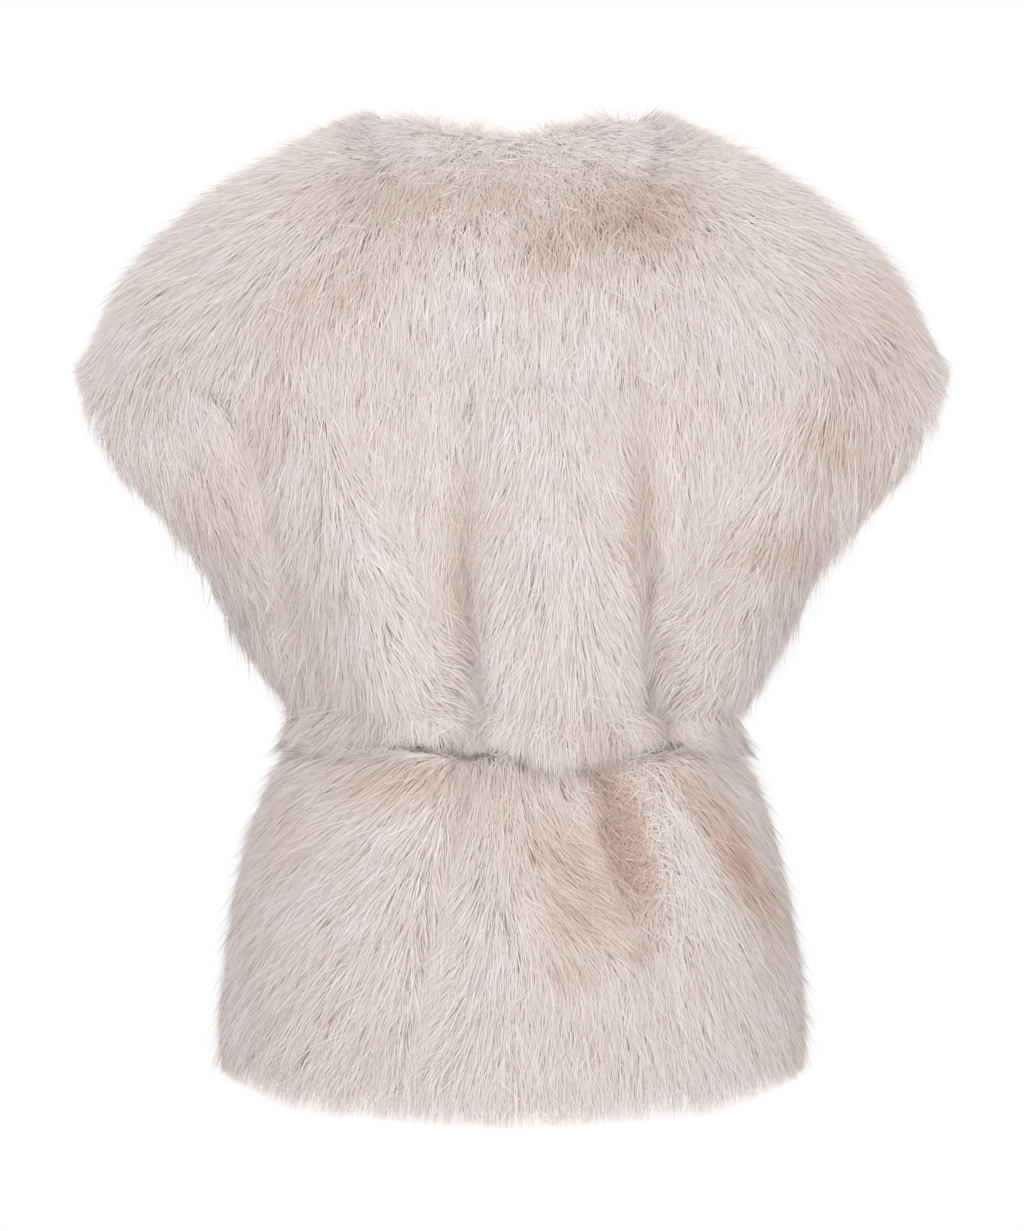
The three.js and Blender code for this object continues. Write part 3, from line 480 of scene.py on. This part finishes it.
# Where the pile lies low between two of the lines, or along one: the z of both ends, and the share of its
# height that is missing there.
SUNK = (
    ("pleat_left", "edge_left", -0.180, -0.300, 0.15, 0.60),
    ("pleat_right", "edge_right", -0.180, -0.310, 0.15, 0.55),
    ("tail_valley", "tail_valley", -0.540, -0.400, 0.15, 0.50),
)

# Places on the back with their own tone, some with painted shade: x, z, half width, half height, slope, tone
# (0 pale to 1 brown). The last two, along the pleat creases, and the band along the tail's right valley are
# partly painted shade.
BACK_TONES_AND_PAINTED_SHADE = (
    (-0.072, -0.042, 0.052, 0.027, 0, 0.62),
    (-0.026, -0.062, 0.030, 0.022, 0, 0.55),
    (0.050, -0.036, 0.085, 0.024, 0, 0.42),
    (0.105, -0.085, 0.040, 0.028, -0.6, 0.32),
    (0.178, -0.225, 0.026, 0.022, 0, 0.26),
    (0.150, -0.165, 0.016, 0.060, -0.4, 0.24),
    (-0.226, -0.112, 0.034, 0.052, 0.2, 0.36),
    (-0.196, -0.186, 0.034, 0.024, 0, 0.36),
    (-0.160, -0.245, 0.034, 0.016, 0.4, 0.42),
    (0.068, -0.388, 0.048, 0.016, 0, 0.42),
    (0.140, -0.415, 0.020, 0.030, 0, 0.25),
    (-0.036, -0.446, 0.032, 0.052, 0.2, 0.52),
    (-0.004, -0.400, 0.020, 0.020, 0, 0.36),
    (-0.067, -0.424, 0.020, 0.054, 0.22, 0.92),
    (-0.037, -0.502, 0.018, 0.006, 0, 0.70),
    (-0.078, -0.490, 0.012, 0.008, 0, 0.60),
    # Partly painted shade: a beige band along a valley of the tail, darkened where the valley's shade falls.
    (-0.136, -0.430, 0.015, 0.064, 0.55, 0.62),
    # Painted shade: these two darken the hair along the pleat creases, where the hair is also browner.
    (0.032, -0.262, 0.010, 0.052, 0, 0.46),
    (-0.077, -0.240, 0.010, 0.064, 0, 0.46),
)
# Where the back's pile is short and curly, and where it is ruffled: x, z, half width, half height, slope.
MATTED = (-0.067, -0.418, 0.020, 0.052, 0.22)
YOKE = (-0.030, -0.034, 0.110, 0.034, 0)


def patch(x, z, centre_x, centre_z, half_x, half_z, slope):
    shifted = x - centre_x + slope * (centre_z - z)
    return bell(np.abs(shifted / half_x) ** 1.5) * bell(np.abs((z - centre_z) / half_z) ** 1.5)


def flow(lines, bundles, x, z):
    """The sideways lean of the pile, which grows from each crest to the edge it falls to."""
    lean = np.zeros_like(x)
    for edge, crest, value, low, high in bundles:
        start, end = along(lines, z, crest), along(lines, z, edge)
        t = np.clip((x - start) / (end - start), 0, 1)
        within = smooth((z - low) / 0.016) * smooth((high - z) / 0.080)
        lean += np.where(t < 1, value * np.minimum(1, 1.4 * t), 0) * within
    return lean


def unit(vectors):
    return vectors / np.maximum(np.linalg.norm(vectors, axis=-1), 1e-9)[..., None]


def sink(grid, x, z):
    """Lowers the back's pile in its pleats and in the tail's valley."""
    for inner, outer, z1, z2, share1, share2 in SUNK:
        near, far = along(BACK_LINES, z, inner), along(BACK_LINES, z, outer)
        half_width = np.maximum(np.abs(far - near) / 2, 0.0055)
        here = (z > WAIST) == (z1 > WAIST)
        t = (z - z1) / (z2 - z1)
        depth = mix(share1, share2, np.clip(t, 0, 1)) * smooth(1 + t / 0.3) * here
        depth *= smooth((np.abs(z - WAIST) - 0.010) / 0.020)
        grid["pile"] *= 1 - depth * bell((x - (near + far) / 2) / half_width)


def nap(grid):
    """Adds the way the pile lies on a panel, and the steps on the grid for each metre along the cloth."""
    points, normals = grid["points"], grid["normals"]
    for _ in range(SOFTENING):
        before, after = normals[np.r_[0, :len(normals) - 1]], normals[np.r_[1:len(normals), -1]]
        normals = unit(2 * normals + before + after)
    x, z, u = points[..., 0], points[..., 2], grid["u"]
    out = np.sign(x) * smooth(np.abs(x) / 0.03)
    above = smooth((z - WAIST) / 0.010)
    on_top = smooth(grid["turn"] / 1.3)
    if grid["back"]:
        gather = np.where(x > 0.028, x - 0.028, np.where(x < -0.078, x + 0.078, 0))
        leans = flow(BACK_LINES, BACK_BUNDLES, x, z)
        sink(grid, x, z)
    else:
        gather = np.sign(x) * np.maximum(np.abs(x) - 0.046, 0)
        leans = np.sign(x) * flow(FRONT_LINES, FRONT_BUNDLES, np.abs(x), z)
    shoulder = smooth((u - 0.50) / 0.45) * smooth((z + 0.165) / 0.110)
    crest = on_top * smooth((np.abs(x) - 0.060) / 0.130) * (1 - 0.6 * smooth((u - 0.70) / 0.30))
    shoulder = np.maximum(0.75 * shoulder, 1.5 * crest)
    fan = gather / (WAIST - 0.004 - np.minimum(z, WAIST - 0.012))
    fan = np.clip(fan, -FAN_LIMIT, FAN_LIMIT) * (1 - 0.3 * smooth((np.abs(x) - 0.09) / 0.05))
    fan *= 0.30 + 0.70 * smooth((WAIST - 0.008 - z) / 0.032)
    sideways = mix(fan, out * shoulder, above) + leans
    way = np.stack([sideways, np.zeros_like(x), np.full_like(x, -1)], axis=2)
    way -= normals * (way * normals).sum(2)[..., None]

    along_i, along_j = np.gradient(points, axis=0), np.gradient(points, axis=1)
    ii, ij, jj = (along_i ** 2).sum(2), (along_i * along_j).sum(2), (along_j ** 2).sum(2)
    det = np.maximum(ii * jj - ij ** 2, 1e-14)
    slope_i, slope_j = np.gradient(grid["open"], axis=0), np.gradient(grid["open"], axis=1)
    rise_i, rise_j = (jj * slope_i - ij * slope_j) / det, (ii * slope_j - ij * slope_i) / det
    uphill = along_i * rise_i[..., None] + along_j * rise_j[..., None]
    steep = np.linalg.norm(uphill, axis=2)[..., None]
    near_strap = smooth((np.abs(z - WAIST) - 0.010) / 0.030)[..., None]
    way = way - mix(*DOWNHILL, above)[..., None] * near_strap * uphill / (1 + steep)
    way /= np.maximum(np.linalg.norm(way, axis=2), 1e-9)[..., None]
    fall = np.array([0, 0, -1]) + normals * normals[..., 2:]
    lie = (normals - 0.8 * uphill) * np.array([1, 1, 0.6])
    lie[..., 1] += (0.9 if grid["back"] else -0.1) * on_top
    grid.update(
        along_i=along_i, along_j=along_j, down=way, across=np.cross(normals, way), fall=fall, lie=unit(lie),
        normals=normals, step_i=(jj[..., None] * along_i - ij[..., None] * along_j) / det[..., None],
        step_j=(ii[..., None] * along_j - ij[..., None] * along_i) / det[..., None])


def look_up(field, where):
    """A grid's values at fractional places, held at its edges."""
    columns, rows = field.shape[:2]
    i = np.clip(where[:, 0], 0, columns - 1.001)
    j = np.clip(where[:, 1], 0, rows - 1.001)
    i0, j0 = i.astype(int), j.astype(int)
    shape = (-1,) + (1,) * (field.ndim - 2)
    fi, fj = (i - i0).reshape(shape), (j - j0).reshape(shape)
    low = mix(field[i0, j0], field[i0 + 1, j0], fi)
    high = mix(field[i0, j0 + 1], field[i0 + 1, j0 + 1], fi)
    return mix(low, high, fj)


def comb(grid, hairs, length):
    """The hairs' points from root to tip, how far each passes an edge, and the cloth's normals below them."""
    columns, rows = grid["u"].shape
    where = hairs["root"].copy()
    z = look_up(grid["points"], where)[:, 2]
    turn, stand, lift = hairs["turn"][:, None], hairs["stand"], hairs["lift"]
    travel = length * (1 - 0.5 * stand)
    first = look_up(grid["down"], where)
    spine, lie = [], []
    done = 0
    for k, step in enumerate(STEPS):
        for part in range(3 if k else 0):
            way = mix(first, look_up(grid["down"], where), 0.4)
            way = way * np.cos(turn) + look_up(grid["across"], where) * np.sin(turn)
            over_strap = hairs["hanging"] * smooth((WAIST - 0.002 - z) / 0.008)
            way = mix(way, look_up(grid["fall"], where), over_strap[:, None])
            way = way * (travel * (step - done) / 3)[:, None]
            steps = [(look_up(grid[name], where) * way).sum(1) for name in ("step_i", "step_j")]
            where = where + np.stack(steps, axis=1)
            z = look_up(grid["points"], where)[:, 2]
        done = step
        held = np.stack([np.clip(where[:, 0], 0, columns - 1), np.clip(where[:, 1], 0, rows - 1)], axis=1)
        past = where - held
        over_i = look_up(grid["along_i"], where) * past[:, :1]
        over_j = look_up(grid["along_j"], where) * past[:, 1:]
        reach = np.linalg.norm(over_i + over_j, axis=1)
        height = mix(LYING[k], STANDING[k], stand) * mix(1, lift, k / 2)
        off = mix(OUTER_FOLDS * look_up(grid["folds"], where), look_up(grid["waves"], where), LYING[k])
        here = look_up(grid["points"], where) + over_i + over_j
        off = off + look_up(grid["pile"], where) * height - 0.35 * reach * smooth(reach / 0.02)
        off += hairs["hanging"] * OFF_STRAP * smooth((WAIST + 0.004 - here[:, 2]) / 0.018)
        spine.append(here + look_up(grid["normals"], where) * off[:, None])
        lie.append(look_up(grid["lie"], where))
    free_i = np.where(z > UNDERARM, PAST_ARMHOLE + PAST_ARM_TURN * bell((z + 0.168) / 0.022), PAST_SIDE)
    if not grid["back"]:
        free_i = np.where(past[:, 0] < 0, PAST_FRONT, free_i)
    at_hem = PAST_HEM + PAST_HEM_SIDE * bell((np.abs(spine[0][:, 0]) - 0.115) / 0.030)
    free_j = np.where(past[:, 1] < 0, at_hem, PAST_NECK)
    over = np.maximum(np.linalg.norm(over_i, axis=1) - free_i, np.linalg.norm(over_j, axis=1) - free_j)
    return np.stack(spine, axis=1), np.stack(lie, axis=1), np.maximum(over, 0)


def kept(back, root, tip, spare):
    """The share of each hair to keep, so that it passes its bundle's edge by no more than spare."""
    lines, bundles = (BACK_LINES, BACK_BUNDLES) if back else (FRONT_LINES, FRONT_BUNDLES)
    mirror = 1 if back else np.sign(root[:, 0])
    root_x, tip_x = mirror * root[:, 0], mirror * tip[:, 0]
    share = np.ones(len(root))
    for edge, crest, _, low, high in bundles:
        start, end = along(lines, root[:, 2], crest), along(lines, root[:, 2], edge)
        side = np.sign(end - start)
        before, passed = (end - root_x) * side, (tip_x - along(lines, tip[:, 2], edge)) * side
        mine = (before > 0) & ((root_x - start) * side > 0) & (passed > spare)
        mine &= (root[:, 2] > low) & (root[:, 2] < high - 0.02)
        left = (before + spare) / np.maximum(before + passed, 1e-6)
        share = np.where(mine, np.minimum(share, left), share)
    return share


def lowest(x, back, jitter):
    """The z that a hair from above the strap may hang down to: lower on the back's middle ridge, where the
    hair forms a point, and higher beside it, where the strap shows."""
    if back:
        ridge = bell((x + 0.030) / 0.032)
        bare = bell(((x - 0.057) / 0.031) ** 2)
        sides = smooth((np.abs(x + 0.030) - 0.070) / 0.030)
        return -0.367 - 0.017 * ridge - 0.008 * sides + 0.0068 * bare + jitter * (1 - 0.65 * bare)
    return mix(-0.342, -0.372, smooth((np.abs(x) - 0.034) / 0.056)) + jitter


def fit(grid, hairs):
    """Combs the hairs, shortened where they would pass an edge or hang too far over the strap."""
    spine, lie, over = comb(grid, hairs, hairs["length"])
    tip, root = spine[:, -1], spine[:, 0]
    share = kept(grid["back"], root, tip, PAST_BUNDLE + 0.7 * hairs["jitter"])
    low = np.where(root[:, 2] > WAIST, lowest(tip[:, 0], grid["back"], hairs["jitter"]) - tip[:, 2], 0)
    left = np.minimum(hairs["length"] - np.maximum(over, low), hairs["length"] * share)
    return comb(grid, hairs, np.maximum(left, SHORTEST))[:2]


def fur(grid, count, seed):
    """All the hairs of a panel: their points, the normals below them, each one's tone and random value, and
    the random numbers to go on with."""
    nap(grid)
    rng = np.random.default_rng(seed)
    corner = grid["points"][:-1, :-1]
    over, up = grid["points"][1:, :-1] - corner, grid["points"][:-1, 1:] - corner
    area = np.linalg.norm(np.cross(over, up), axis=2)
    z = corner[..., 2]
    above_strap, below_strap = 1.2 * bell((z + 0.338) / 0.012), 0.6 * bell((z + 0.374) / 0.008)
    weight = area * (1 + above_strap + below_strap + 1.6 * smooth((z + 0.04) / 0.02))
    weight *= np.abs(z - WAIST) > BARE_HALF
    chosen = rng.choice(weight.size, count, p=(weight / weight.sum()).ravel())
    roots = np.stack(np.unravel_index(chosen, weight.shape), axis=1) + rng.random((count, 2))
    points = look_up(grid["points"], roots)
    x, z = points[:, 0], points[:, 2]

    # Locks: some of the roots lead, and each hair leans towards the lead that is nearest to it.
    leads = rng.random(count) < area.sum() / (LOCK ** 2) / count
    tree = KDTree(int(leads.sum()))
    for k, point in enumerate(points[leads]):
        tree.insert(point, k)
    tree.balance()
    lock = np.array([tree.find(point)[1] for point in points])

    def shared(low, high, spread):
        """A random value for each lock, with a smaller change for each hair."""
        return rng.uniform(low, high, leads.sum())[lock] + rng.uniform(-spread, spread, count)

    matted = patch(x, z, *MATTED) if grid["back"] else np.zeros(count)
    yoke = patch(x, z, *YOKE) if grid["back"] else np.zeros(count)
    rim = smooth((z + 0.034) / 0.030) * smooth((0.135 - np.abs(x)) / 0.040)
    stray = rng.random(count) < STRAY_SHARE * (1 - rim)
    beside_buckle = 1 if grid["back"] else smooth((np.abs(x) - 0.034) / 0.040)
    tuft = smooth((z + 0.384) / 0.014) * (z < WAIST) * beside_buckle
    loose = 0.15 + 0.35 * rim + 0.26 * yoke + 0.75 * matted + 0.20 * stray
    over_strap = (OVER_STRAP + OVER_STRAP_RIDGE * bell((x + 0.030) / 0.040)) * (z > WAIST)
    over_strap *= smooth((-0.300 - z) / 0.030)
    length = HAIR * shared(0.80, 1.06, 0.14) * (1 - 0.58 * matted) * (1 - 0.30 * np.maximum(rim, yoke))
    hairs = {
        "root": roots,
        "length": length + over_strap,
        "turn": shared(-0.15, 0.15, 0) + rng.normal(0, 1, count) * loose,
        "lift": shared(0.90, 1.06, 0.07) * (1 - 0.25 * matted) + 0.32 * stray + 0.16 * rng.random(count) ** 3,
        "stand": np.clip(0.42 * rim + 0.75 * tuft + 0.14 * rng.random(count), 0, 1),
        "hanging": (z > WAIST).astype(float),
        "jitter": shared(-0.004, 0.004, 0.003),
    }
    spine, lie = fit(grid, hairs)
    lead_spine = spine[leads][lock]
    pull = LOCK_PULL[None, :] * (rng.uniform(0.1, 1.1, count) * ~stray * (1 - matted))[:, None]
    home = lead_spine + (spine[:, :1] - lead_spine[:, :1]) * LOCK_ROOM[None, :, None]
    spine = mix(spine, home, pull[..., None])

    tone = np.zeros(count)
    if grid["back"]:
        seen = mix(spine[:, 1], spine[:, 2], 0.5)
        # Some of these tones are painted shade along the pleat creases and a tail valley.
        for *place, value in BACK_TONES_AND_PAINTED_SHADE:
            tone = np.maximum(tone, value * patch(seen[:, 0], seen[:, 2], *place))
        tone *= shared(0.62, 1.30, 0.15)
    return spine, lie, tone, rng.random(count), rng


def strand_mesh(name, spine, lie, tone, luck, rng, material):
    """The hairs as one mesh of ribbons, each of a quad and a pointed tip, with its own cell in the UV map."""
    count = len(spine)
    tangent = unit(np.gradient(spine, axis=1))
    outward = unit(spine[:, 1:2] * np.array([1, 1.6, 0]))
    facing = unit(lie + 0.5 * outward)
    flat = unit(np.cross(tangent, facing))
    raised = np.cross(flat, tangent)
    roll = rng.normal(0, ROLL, count)[:, None, None]
    cos, sin = np.cos(roll), np.sin(roll)
    flat, raised = flat * cos + raised * sin, raised * cos - flat * sin
    half = HAIR_WIDTH / 2 * rng.uniform(*WIDTH_RANGE, count)[:, None] * np.array([ROOT_WIDTH, 1.0])[None, :]
    side = flat[:, :2] * half[..., None]
    left, right = spine[:, :2] - side, spine[:, :2] + side
    corners = np.stack([left[:, 0], right[:, 0], left[:, 1], right[:, 1], spine[:, 2]], axis=1)
    soft = unit(facing + 0.3 * raised)[:, (0, 0, 1, 1, 2)]

    loops = np.array([0, 1, 3, 2, 2, 3, 4])
    first = np.arange(count)[:, None]
    mesh = bpy.data.meshes.new(name)
    mesh.vertices.add(count * 5)
    mesh.vertices.foreach_set("co", corners.astype(np.float32).ravel())
    mesh.loops.add(count * 7)
    mesh.loops.foreach_set("vertex_index", (first * 5 + loops).astype(np.int32).ravel())
    mesh.polygons.add(count * 2)
    mesh.polygons.foreach_set("loop_start", (first * 7 + np.array([0, 4])).astype(np.int32).ravel())
    mesh.polygons.foreach_set("loop_total", np.tile([4, 3], count).astype(np.int32))
    mesh.update()
    mesh.shade_smooth()
    mesh.normals_split_custom_set_from_vertices(soft.reshape(-1, 3))

    share = TONE_STEPS
    values = np.ones((count, 5, 4), dtype=np.float32)
    values[..., 0] = tone[:, None]
    values[..., 1] = share[None, :]
    values[..., 2] = luck[:, None]
    mesh.attributes.new("pile", "FLOAT_COLOR", "POINT").data.foreach_set("color", values.ravel())

    cells = math.ceil(math.sqrt(count))
    place = np.stack([np.arange(count) % cells, np.arange(count) // cells], axis=1) / cells
    across = np.array([0.2, 0.8, 0.2, 0.8, 0.5])
    inside = np.stack([across, 0.12 + 0.76 * share], axis=1) / cells
    chart = place[:, None, :] + inside[None, :, :]
    mesh.uv_layers.new(name="OFBake").data.foreach_set("uv", chart[:, loops].astype(np.float32).ravel())
    mesh.materials.append(material)
    piece = bpy.data.objects.new(name, mesh)
    bpy.context.collection.objects.link(piece)
    return piece


# The guard hairs are pale rose beige, browner in places (along the pleat creases and one tail valley that
# brown is partly painted shade), darker at the root and each a little different. They glow faintly: painted
# light that lifts the shade between them.
pile, nodes, links = new_material("pile")
shader = nodes["Principled BSDF"]
facts = nodes.new("ShaderNodeAttribute")
facts.attribute_name = "pile"
split = nodes.new("ShaderNodeSeparateColor")
drift = nodes.new("ShaderNodeGroup")
drift.node_tree = dye_drift
drift.inputs["Patch Size"].default_value = 16
drift.inputs["Contrast"].default_value = 1.2
toned = nodes.new("ShaderNodeMath")
toned.operation = "MULTIPLY_ADD"
toned.inputs[1].default_value = 0.30
tint = nodes.new("ShaderNodeValToRGB")
tint.color_ramp.elements[0].color = (0.915, 0.893, 0.893, 1)
tint.color_ramp.elements[1].color = (0.68, 0.49, 0.41, 1)
tint.color_ramp.elements[1].position = 1.0
beige = tint.color_ramp.elements.new(0.55)
beige.color = (0.85, 0.75, 0.705, 1)
rooted = nodes.new("ShaderNodeValToRGB")
rooted.color_ramp.elements[0].color = (0.93, 0.87, 0.83, 1)
rooted.color_ramp.elements[1].color = (1, 1, 1, 1)
rooted.color_ramp.elements[1].position = 0.6
shade = nodes.new("ShaderNodeMix")
shade.data_type = "RGBA"
shade.blend_type = "MULTIPLY"
shade.inputs["Factor"].default_value = 1
vary = nodes.new("ShaderNodeValToRGB")
vary.color_ramp.elements[0].color = (0.80, 0.70, 0.63, 1)
vary.color_ramp.elements[1].color = (1.0, 1.0, 1.0, 1)
for position, color in ((0.16, (0.86, 0.78, 0.73, 1)), (0.26, (0.95, 0.935, 0.93, 1))):
    vary.color_ramp.elements.new(position).color = color
each = nodes.new("ShaderNodeMix")
each.data_type = "RGBA"
each.blend_type = "MULTIPLY"
each.inputs["Factor"].default_value = 1
gloss = nodes.new("ShaderNodeMapRange")
gloss.inputs["To Min"].default_value = 0.5
gloss.inputs["To Max"].default_value = 0.75
links.new(facts.outputs["Color"], split.inputs["Color"])
links.new(drift.outputs["Drift"], toned.inputs[0])
links.new(split.outputs["Red"], toned.inputs[2])
links.new(toned.outputs[0], tint.inputs["Fac"])
links.new(split.outputs["Green"], rooted.inputs["Fac"])
links.new(split.outputs["Blue"], vary.inputs["Fac"])
links.new(split.outputs["Blue"], gloss.inputs["Value"])
links.new(tint.outputs["Color"], shade.inputs["A"])
links.new(rooted.outputs["Color"], shade.inputs["B"])
links.new(shade.outputs["Result"], each.inputs["A"])
links.new(vary.outputs["Color"], each.inputs["B"])
links.new(each.outputs["Result"], shader.inputs["Base Color"])
links.new(gloss.outputs["Result"], shader.inputs["Roughness"])
# Painted light: a faint warm glow that lifts the shade between the hairs.
shader.inputs["Emission Color"].default_value = (1.0, 0.89, 0.85, 1)
shader.inputs["Emission Strength"].default_value = 0.065

# Each panel's share of the hairs, and the columns and seed of its grid. The back's hair is in three pieces:
# left and right of the parting above the strap, and the tail below it.
GROWTH = {
    "back": {"share": 0.61, "columns": 150, "seed": 11},
    "front_left": {"share": 0.19, "columns": 80, "seed": 12},
    "front_right": {"share": 0.19, "columns": 80, "seed": 13},
}
PARTING = 0.001
hair_pieces = {}
for node, panel in PANELS.items():
    growth = GROWTH[node]
    grid = cloth(panel["side"], growth["columns"], PILE_FINENESS)
    spine, lie, tone, luck, rng = fur(grid, round(HAIRS * growth["share"]), growth["seed"])
    if node == "back":
        upper = spine[:, 0, 2] > WAIST
        left = spine[:, 0, 0] > PARTING
        parts = {"pile_back_left": upper & left, "pile_back_right": upper & ~left, "pile_back_tail": ~upper}
    else:
        parts = {"pile_" + node: np.ones(len(spine), dtype=bool)}
    hair_pieces[node] = []
    for name, mine in parts.items():
        piece = strand_mesh(name, spine[mine], lie[mine], tone[mine], luck[mine], rng, pile)
        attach(piece, "root")
        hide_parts(node)
        hair_pieces[node].append(piece)


# The strap and the loop on it: black leather, 18 mm wide.
leather, nodes, links = new_material("strap_leather")
shader = nodes["Principled BSDF"]
grain = nodes.new("ShaderNodeTexVoronoi")
grain.inputs["Scale"].default_value = 900
bump = nodes.new("ShaderNodeBump")
bump.inputs["Distance"].default_value = 0.0003
drift = nodes.new("ShaderNodeGroup")
drift.node_tree = dye_drift
drift.inputs["Patch Size"].default_value = 30
drift.inputs["Contrast"].default_value = 2
tint = nodes.new("ShaderNodeValToRGB")
tint.color_ramp.elements[0].color = (0.010, 0.009, 0.009, 1)
tint.color_ramp.elements[1].color = (0.024, 0.021, 0.021, 1)
links.new(grain.outputs["Distance"], bump.inputs["Height"])
links.new(bump.outputs["Normal"], shader.inputs["Normal"])
links.new(drift.outputs["Drift"], tint.inputs["Fac"])
links.new(tint.outputs["Color"], shader.inputs["Base Color"])
shader.inputs["Roughness"].default_value = 0.42
for node in ("belt_strap", "belt_keeper"):
    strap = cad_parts[node]
    strap.data.materials.clear()
    strap.data.materials.append(leather)


# The buckle's frame and prong: satin metal.
metal, nodes, links = new_material("buckle_metal")
shader = nodes["Principled BSDF"]
brush = nodes.new("ShaderNodeTexNoise")
brush.inputs["Scale"].default_value = 700
rough = nodes.new("ShaderNodeMapRange")
rough.inputs["To Min"].default_value = 0.22
rough.inputs["To Max"].default_value = 0.42
links.new(brush.outputs["Fac"], rough.inputs["Value"])
links.new(rough.outputs["Result"], shader.inputs["Roughness"])
shader.inputs["Base Color"].default_value = (0.62, 0.56, 0.48, 1)
shader.inputs["Metallic"].default_value = 1
for node in ("buckle_frame", "buckle_prong"):
    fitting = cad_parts[node]
    fitting.data.materials.clear()
    fitting.data.materials.append(metal)


# The studio: a pale round floor far below, three soft lights, and the camera behind the vest, level with
# its middle and at the photograph's scale.
FLOOR_Z, FLOOR_RADIUS = -1.38, 2.9
bpy.ops.object.select_all(action="DESELECT")
bpy.ops.mesh.primitive_circle_add(
    vertices=96, radius=FLOOR_RADIUS, fill_type="NGON", location=(0, 0, FLOOR_Z))
floor = bpy.context.object
floor.name = "floor"
paint, nodes, links = new_material("floor_paint")
speckle = nodes.new("ShaderNodeTexNoise")
speckle.inputs["Scale"].default_value = 3
tint = nodes.new("ShaderNodeValToRGB")
tint.color_ramp.elements[0].color = (0.80, 0.80, 0.80, 1)
tint.color_ramp.elements[1].color = (0.84, 0.84, 0.84, 1)
links.new(speckle.outputs["Fac"], tint.inputs["Fac"])
links.new(tint.outputs["Color"], nodes["Principled BSDF"].inputs["Base Color"])
floor.data.materials.append(paint)

world = bpy.data.worlds.new("studio")
world.use_nodes = True
bpy.context.scene.world = world
nodes, links = world.node_tree.nodes, world.node_tree.links
ray = nodes.new("ShaderNodeLightPath")
strength = nodes.new("ShaderNodeMapRange")
strength.inputs["To Min"].default_value = 0.50
strength.inputs["To Max"].default_value = 1.0
links.new(ray.outputs["Is Camera Ray"], strength.inputs["Value"])
links.new(strength.outputs["Result"], nodes["Background"].inputs["Strength"])
nodes["Background"].inputs["Color"].default_value = (1, 1, 1, 1)


LIT_Z = -0.3


def soft_light(name, place, size, power):
    """A round lamp at a place, turned to the vest's middle."""
    lamp = bpy.data.lights.new(name, "AREA")
    lamp.shape = "DISK"
    lamp.size = size
    lamp.energy = power
    holder = bpy.data.objects.new(name, lamp)
    holder.location = place
    aim = Vector((0, 0, LIT_Z)) - Vector(place)
    holder.rotation_euler = aim.to_track_quat("-Z", "Y").to_euler()
    bpy.context.collection.objects.link(holder)


soft_light("key", (0.9, 2.7, 1.1), 1.6, 40)
soft_light("fill", (-1.6, 2.4, 0.2), 2.0, 22)
soft_light("front", (0.6, -2.8, 1.2), 1.8, 55)

# The photograph's height, the row of the shoulder line in it, its scale, and the middle of the picture.
PHOTO_HEIGHT, SHOULDER_ROW = 1231, 165
METRE_PER_PIXEL = 0.00063
MIDDLE_X = 0.0002
DISTANCE, SENSOR = 3.2, 36
lens = bpy.data.cameras.new("camera")
lens.sensor_width = SENSOR
lens.lens = SENSOR * DISTANCE / (PHOTO_HEIGHT * METRE_PER_PIXEL)
camera = bpy.data.objects.new("camera", lens)
camera.location = (MIDDLE_X, DISTANCE, (SHOULDER_ROW - PHOTO_HEIGHT / 2) * METRE_PER_PIXEL)
camera.rotation_euler = (math.pi / 2, 0, math.pi)
bpy.context.collection.objects.link(camera)
bpy.context.scene.camera = camera
bpy.context.scene.view_settings.view_transform = "Standard"
